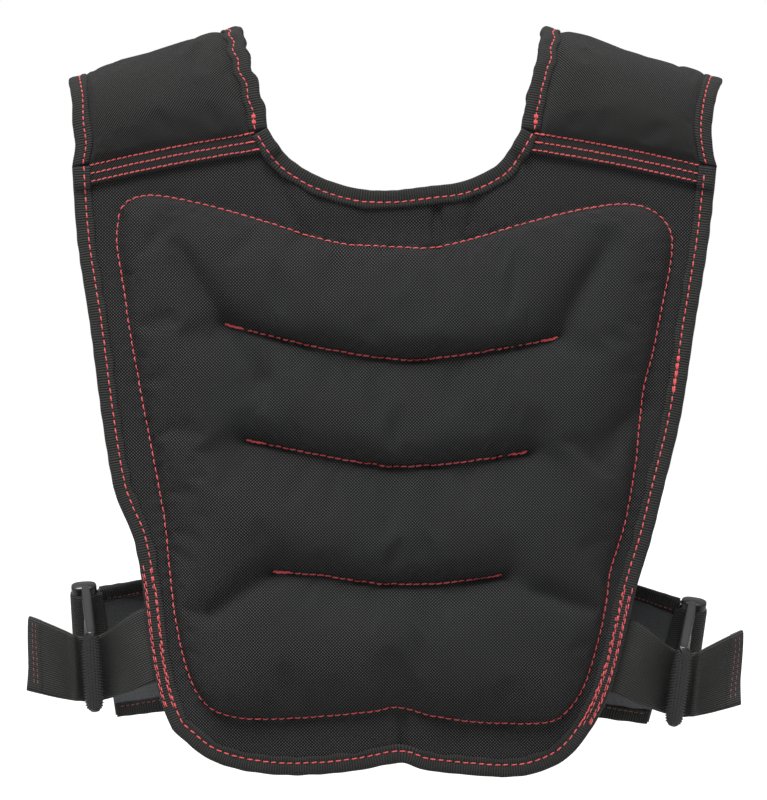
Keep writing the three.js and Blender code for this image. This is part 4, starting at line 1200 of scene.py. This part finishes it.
strap_surfaces = {}
across = np.linspace(WEB_WIDTH / 2, -WEB_WIDTH / 2, WEB_COLUMNS + 1)
beside_bar = BAR_THICK / 2 + CLEAR + WEB_THICK / 2
behind_bar = BAR_DEEP / 2 + CLEAR + WEB_THICK / 2
for side, (hand, *_) in SLIDES.items():
    turns = np.linspace(math.pi - LOOP_OPEN, LOOP_OPEN - math.pi, LOOP_ROWS + 1)
    round_bar = np.column_stack([
        hand * beside_bar * np.cos(turns), half_pitch + behind_bar * np.sin(turns), 0 * turns,
    ])
    end_line = wing_ends[side][::-1]
    leg = np.array([0, (WING_THICK + WEB_THICK) / 2 + CLEAR, 0])
    columns = []
    for height in across:
        ring = on_slide(side, round_bar + height * z_way)
        end = at_marks(on_slide(side, (0, half_pitch, height))[2], end_line[:, 2], end_line)
        first = np.linspace(end + leg, ring[0], LEG_ROWS, endpoint=False)
        last = np.linspace(ring[-1], end - leg, LEG_ROWS + 1)[1:]
        columns.append(np.vstack([first, ring, last]))
    loop_grid = np.stack(columns, axis=1)
    half = np.full(loop_grid.shape[:2], WEB_THICK / 2)
    loop, _, _, length = web_piece(f"wing_loop_{side}_webbing", loop_grid, half, half, f"wing_loop_{side}")

    down, lean, tail_out, tail_down, tail_lean = STRAPS[side]
    z = -down * DROP
    edge = panel_edges["front"][side]
    edge_x = np.interp(z, edge[:, 1], edge[:, 0])
    seam = np.array([(edge_x - hand * WEB_LAP, 0, z), (edge_x + hand * 2 * TAPE, 0, z)])
    seam[:, 1] = on_binding(seam)
    slot = behind_bar - half_pitch
    aside = BAR_THICK / 2 + WEB_THICK
    on_bar = on_slide(side, [(-hand * aside, slot, 0), (0, slot, 0), (hand * aside, slot, 0)])
    tail_end = (hand * tail_out * HALF_WIDTH, on_bar[-1, 1] + 2 * WEB_THICK, -tail_down * DROP)
    path = np.vstack([seam, on_bar, tail_end])
    slide_up = slide_axes(side)[1][:, 2]
    ups = [leaning(hand * lean)] * 2 + [slide_up] * 3 + [leaning(hand * tail_lean)]
    line = smooth_line(np.hstack([path, ups]), 40)
    marks = travelled(line[:, :3])
    spots = np.linspace(0, marks[-1], STRAP_ROWS + 1)
    even = at_marks(spots, marks, line)
    stops = np.interp(spots, marks, np.linspace(0, len(path) - 1, len(line)))
    leaving = smooth_share(stops - 1)
    grid = even[:, None, :3] + across[None, :, None] * unit(even[:, 3:])[:, None]
    grid[..., 1] += (on_binding(grid) - grid[..., 1]) * (1 - leaving)[:, None]
    past_bar = spots - np.interp(LEAVES_BAR, stops, spots)
    settled = smooth_share(past_bar / TAIL_SETTLE)[:, None]
    ridge = ROLL_RISE * np.exp(-(((past_bar - ROLL_WIDTH / 2) / (ROLL_WIDTH / 2)) ** 2))
    grid[..., 1] += TAIL_CURL * settled * np.cos(math.pi * across / WEB_WIDTH) - ridge[:, None]
    grid[..., 0] += hand * TAIL_SPREAD * settled * np.sin(3 * across / WEB_WIDTH)
    in_hem = (spots - marks[-1] + TAIL_HEM) / HEM_STEP
    folded = smooth_share(in_hem + 0.5)[:, None] * np.ones(WEB_COLUMNS + 1)
    thick_out = WEB_THICK * (0.5 + 0.45 * folded)
    thick_in = WEB_THICK * (0.5 + 0.5 * folded)
    strap, outer, normals, length = web_piece(
        f"side_strap_{side}_webbing", grid, thick_out, thick_in, f"side_strap_{side}",
    )
    strap_surfaces[side] = (outer, normals)


# Red stitching
# Thick red polyester thread, sewn in even rows that sink a little into the cloth between stitches.
# The ends of the quilt lines and of the pads' hem rows are sewn over again and look thicker.
THREAD = 0.00086
STITCH_RISE = np.array([-0.9, 0.15, 0.5, 0.5, 0.15, -0.9]) * 0.0005
THREAD_SIDES = 6
PLIES_ALONG = 0.004  # how much of the thread's twist shows along a stitch and round it
PLIES_AROUND = 0.0014
STITCH_SAMPLE = 0.001
STITCH_EVEN = 11  # samples of a row that are evened out together
STITCH_LIFT = 0.00025
POCKET_OUTSET = 0.0007  # how far outside the pocket's edge its stitches lie, where the cloth is flat
stitched = {}


def thread_finish(name, colour):
    """Twisted, slightly shiny thread, with painted highlight along its plies."""
    finish, thread, place = new_finish(name)
    along = thread.add("SeparateXYZ", {}, {"Vector": place}, "X")
    round_it = thread.add("SeparateXYZ", {}, {"Vector": place}, "Y")
    plies = (along + round_it).wave(0.0007)
    fibres = speckled(thread, place, 2500.0, 2.0)
    # Painted highlight: the colour is lighter along the twisted plies, following the bump. The fibres are the
    # thread's own uneven colour.
    tone = 1 + 0.3 * plies + 0.6 * (fibres - 0.5)
    height = 0.00008 * (plies + 0.5 * fibres)
    fixed = {"Specular IOR Level": 0.5, "Sheen Weight": 0.3}
    return finish_off(finish, thread, colour, tone, 0.42 + 0.2 * (fibres - 0.5), height, 0.8, fixed)


red_thread = thread_finish("red_thread", (0.52, 0.032, 0.04))
dull_thread = thread_finish("dull_thread", (0.12, 0.016, 0.014))


def sew(place, row, outs, pitch, seed, thickness=THREAD, start=0.0, end=None, sideways=0.0, share=0.78):
    """Sews a row of stitches along a line of points on the cloth, for the named piece of stitching."""
    marks = travelled(row)
    end = marks[-1] if end is None else end
    count = int((end - start) / pitch)
    if count < 1:
        return
    draw = np.random.default_rng(seed)
    begin = start + (np.arange(count) + draw.uniform(-0.04, 0.04, count)) * pitch
    length = pitch * (share + draw.uniform(-0.04, 0.04, count))
    spots = begin[:, None] + length[:, None] * np.linspace(0, 1, len(STITCH_RISE))
    spots = np.clip(spots, 0, marks[-1])

    centre = at_marks(spots, marks, row)
    out = unit(at_marks(spots, marks, outs))
    way = unit(centre[:, -1] - centre[:, 0])[:, None]
    beside = unit(np.cross(out, way))
    slant = draw.uniform(-0.00012, 0.00012, (count, 1)) + 0.00016 * np.linspace(-1, 1, len(STITCH_RISE))
    centre = centre + out * (STITCH_RISE * thickness / THREAD)[None, :, None]
    centre = centre + beside * (sideways + slant)[..., None]
    angle = np.linspace(0, 2 * math.pi, THREAD_SIDES, endpoint=False)
    radius = thickness / 2 * (1 + draw.uniform(-0.1, 0.1, (count, 1)))
    swell_ring = radius * np.array([0.75, 1.0, 1.05, 1.05, 1.0, 0.75])
    rings = (centre[:, :, None]
             + beside[:, :, None] * (swell_ring[:, :, None] * np.cos(angle))[..., None]
             + out[:, :, None] * (0.8 * swell_ring[:, :, None] * np.sin(angle))[..., None])
    stitched.setdefault(place, []).append(rings)


def over_cloth(surfaces, flat_line, facing):
    """A flat line of points laid on pieces of cloth, with the way out of them at each point."""
    trees = [BVHTree.FromPolygons(points.tolist(), faces) for points, faces in surfaces]
    row, outs = [], []
    for x, z in flat_line:
        hits = [tree.ray_cast(Vector((x, facing * 0.3, z)), Vector((0, -facing, 0))) for tree in trees]
        hits = [hit for hit in hits if hit[0] is not None]
        if hits:
            near = max(hits, key=lambda hit: facing * hit[0].y)
            row.append(tuple(near[0]))
            outs.append(tuple(near[1] if near[1].y * facing > 0 else -near[1]))
    return np.array(row), np.array(outs)


def evened(values):
    """Rows of values along a line, each a mean of its neighbours that counts the nearest most."""
    weights = np.hanning(STITCH_EVEN + 2)[1:-1]
    weights /= weights.sum()
    reach = STITCH_EVEN // 2
    padded = np.pad(values, ((reach, reach), (0, 0)), "edge")
    return np.column_stack([np.convolve(column, weights, "valid") for column in padded.T])


def line_over(surfaces, flat_points, facing):
    """As over_cloth, at every millimetre of a line, evened out and lifted a little off the cloth."""
    count = max(int(travelled(flat_points)[-1] / STITCH_SAMPLE), 4)
    row, outs = over_cloth(surfaces, even_points(flat_points, count), facing)
    outs = unit(evened(outs))
    row[:, 1] = evened(row)[:, 1]
    return row + STITCH_LIFT * outs, outs


BINDING_PITCH = 0.0054
QUILT_PITCH = 0.0051
HEM_PITCH = 0.0038
QUILT_LIFT = 0.0002
BACKTACK = 0.013
HEM_SEWN = (0.08, 0.95)  # where a pad's hem rows start and end, in shares of the way to the neck
HEM_BACKTACK = 0.009
KNOT_START = 0.0035
KNOT_END = 0.0125
HEM_ROWS = (0.0035, 0.0062)  # how far from a strap's end its two rows lie
HEM_MARGIN = 0.003
ANCHOR_IN = 0.0012
ANCHOR_ROWS = {"left": (-0.329, -0.427), "right": (-0.346, -0.439)}  # heights that they run between
BACKTACK_HIGH = -0.188  # the binding is sewn over again between these heights
BACKTACK_LOW = -0.217

pocket_way = unit(np.gradient(pocket_line, axis=0))
pocket_seam = pocket_line + POCKET_OUTSET * np.column_stack([-pocket_way[:, 1], pocket_way[:, 0]])

for panel_name, facing in (("front", -1), ("back", 1)):
    surface = [panel_surfaces[f"{panel_name}_panel"]]
    place = f"{panel_name}_stitching"
    row, outs = line_over(surface, pocket_seam, facing)
    sew(place, row, outs, BINDING_PITCH, 71)
    for number, line in enumerate(quilt_lines):
        row, outs = line_over(surface, line, facing)
        row = row + outs * QUILT_LIFT
        total = travelled(row)[-1]
        sew(place, row, outs, QUILT_PITCH, 73 + number)
        for start, end in ((0, BACKTACK), (total - BACKTACK, total)):
            for shift, sideways in ((0.0, 0.0004), (0.0025, -0.0003)):
                sew(place, row, outs, QUILT_PITCH * 0.8, 81 + number, THREAD * 1.15,
                    start + shift, end, sideways, 0.98)
    for part in ("binding", "neck_binding"):
        for face, seed in (("front", 91), ("back", 92)):
            sew(place, *tape_rows[f"{panel_name}_{part}"][face], BINDING_PITCH, seed)

for side, (hand, *_) in SLIDES.items():
    place = f"pad_stitching_{side}"
    for part in ("arm", "neck"):
        for face in ("front", "back"):
            sew(place, *tape_rows[f"shoulder_{part}_binding_{side}"][face], BINDING_PITCH * 0.8, 93)
    for panel_name, facing in (("front", -1), ("back", 1)):
        ends = hem_ends(side, panel_name)
        for number, height in enumerate(PAD_STITCHES):
            flat_line = hem_line(ends, 1 - height / HEM, np.linspace(*HEM_SEWN, 60))
            row, outs = line_over([pad_surfaces[side]], flat_line, facing)
            sew(place, row, outs, HEM_PITCH, 95 + number)
            total = travelled(row)[-1]
            sew(place, row, outs, HEM_PITCH, 97, THREAD * 1.25, total - HEM_BACKTACK, total, 0.0003, 0.95)
    for face in ("front", "back"):
        row, outs = tape_rows[f"shoulder_neck_binding_{side}"][face]
        for sideways in (-0.0009, 0.0, 0.0009):
            sew(place, row, outs, HEM_PITCH, 98, THREAD * 1.2, KNOT_START, KNOT_END, sideways, 0.95)
    place = f"wing_stitching_{side}"
    for part in ("top", "bottom"):
        for face in ("front", "back"):
            sew(place, *tape_rows[f"wing_{part}_binding_{side}"][face], HEM_PITCH, 99, THREAD * 0.8)
    outer, normals = strap_surfaces[side]
    lengths = travelled(outer[:, WEB_COLUMNS // 2])
    for inward in HEM_ROWS:
        number = np.argmin(np.abs(lengths - lengths[-1] + inward))
        sew(place, outer[number], normals[number], HEM_PITCH, 101, THREAD * 0.55,
            HEM_MARGIN, WEB_WIDTH - HEM_MARGIN)

    # The strap's anchor is sewn over again, in a second row at the tape's edge and close by the first.
    high, low = ANCHOR_ROWS[side]
    edge = panel_edges["front"][side]
    anchor = edge[(edge[:, 1] < high) & (edge[:, 1] > low)]
    anchor = anchor - np.array([hand * ANCHOR_IN, 0])
    tapes = [tape_surfaces["front_binding"]]
    row, outs = line_over(tapes, anchor, -1)
    sew("front_stitching", row, outs, QUILT_PITCH, 103, THREAD * 0.85)
    sew("front_stitching", row, outs, QUILT_PITCH * 1.2, 105, THREAD * 0.6, sideways=0.0011)
    row, outs = line_over(tapes, anchor - np.array([hand * (STITCH_IN - ANCHOR_IN), 0]), -1)
    sew("front_stitching", row, outs, QUILT_PITCH * 1.1, 107, THREAD * 0.8, sideways=0.0011)
    sew("front_stitching", row, outs, QUILT_PITCH * 0.9, 109, THREAD * 0.6, sideways=-0.0009)

row, outs = tape_rows["front_binding"]["front"]
marks = travelled(row)
backtacked = marks[(row[:, 0] > 0) & (row[:, 2] < BACKTACK_HIGH) & (row[:, 2] > BACKTACK_LOW)]
for sideways in (-0.0006, 0.0006):
    sew("front_stitching", row, outs, QUILT_PITCH, 111, THREAD * 1.1,
        backtacked[0], backtacked[-1], sideways, 0.96)

for place, groups in stitched.items():
    rings = np.concatenate(groups)
    count, steps = rings.shape[:2]
    one, ring, _ = tube_faces(steps, THREAD_SIDES)
    caps = np.array([ring[::-1], ring + (steps - 1) * THREAD_SIDES])
    first = np.arange(count)[:, None, None] * steps * THREAD_SIDES
    faces = (one[None] + first).reshape(-1, 4).tolist()
    faces += (caps[None] + first).reshape(-1, THREAD_SIDES).tolist()
    along = np.tile(np.linspace(0, PLIES_ALONG, steps)[:, None], (count, 1, THREAD_SIDES))
    around = np.tile(np.arange(THREAD_SIDES) / THREAD_SIDES * PLIES_AROUND, (count, steps, 1))
    attributes = {"cloth": np.stack([along, around, 0 * around], axis=-1).reshape(-1, 3)}
    thread_kind = dull_thread if place.startswith("wing") else red_thread
    add_piece(place, rings.reshape(-1, 3), faces, attributes, thread_kind)
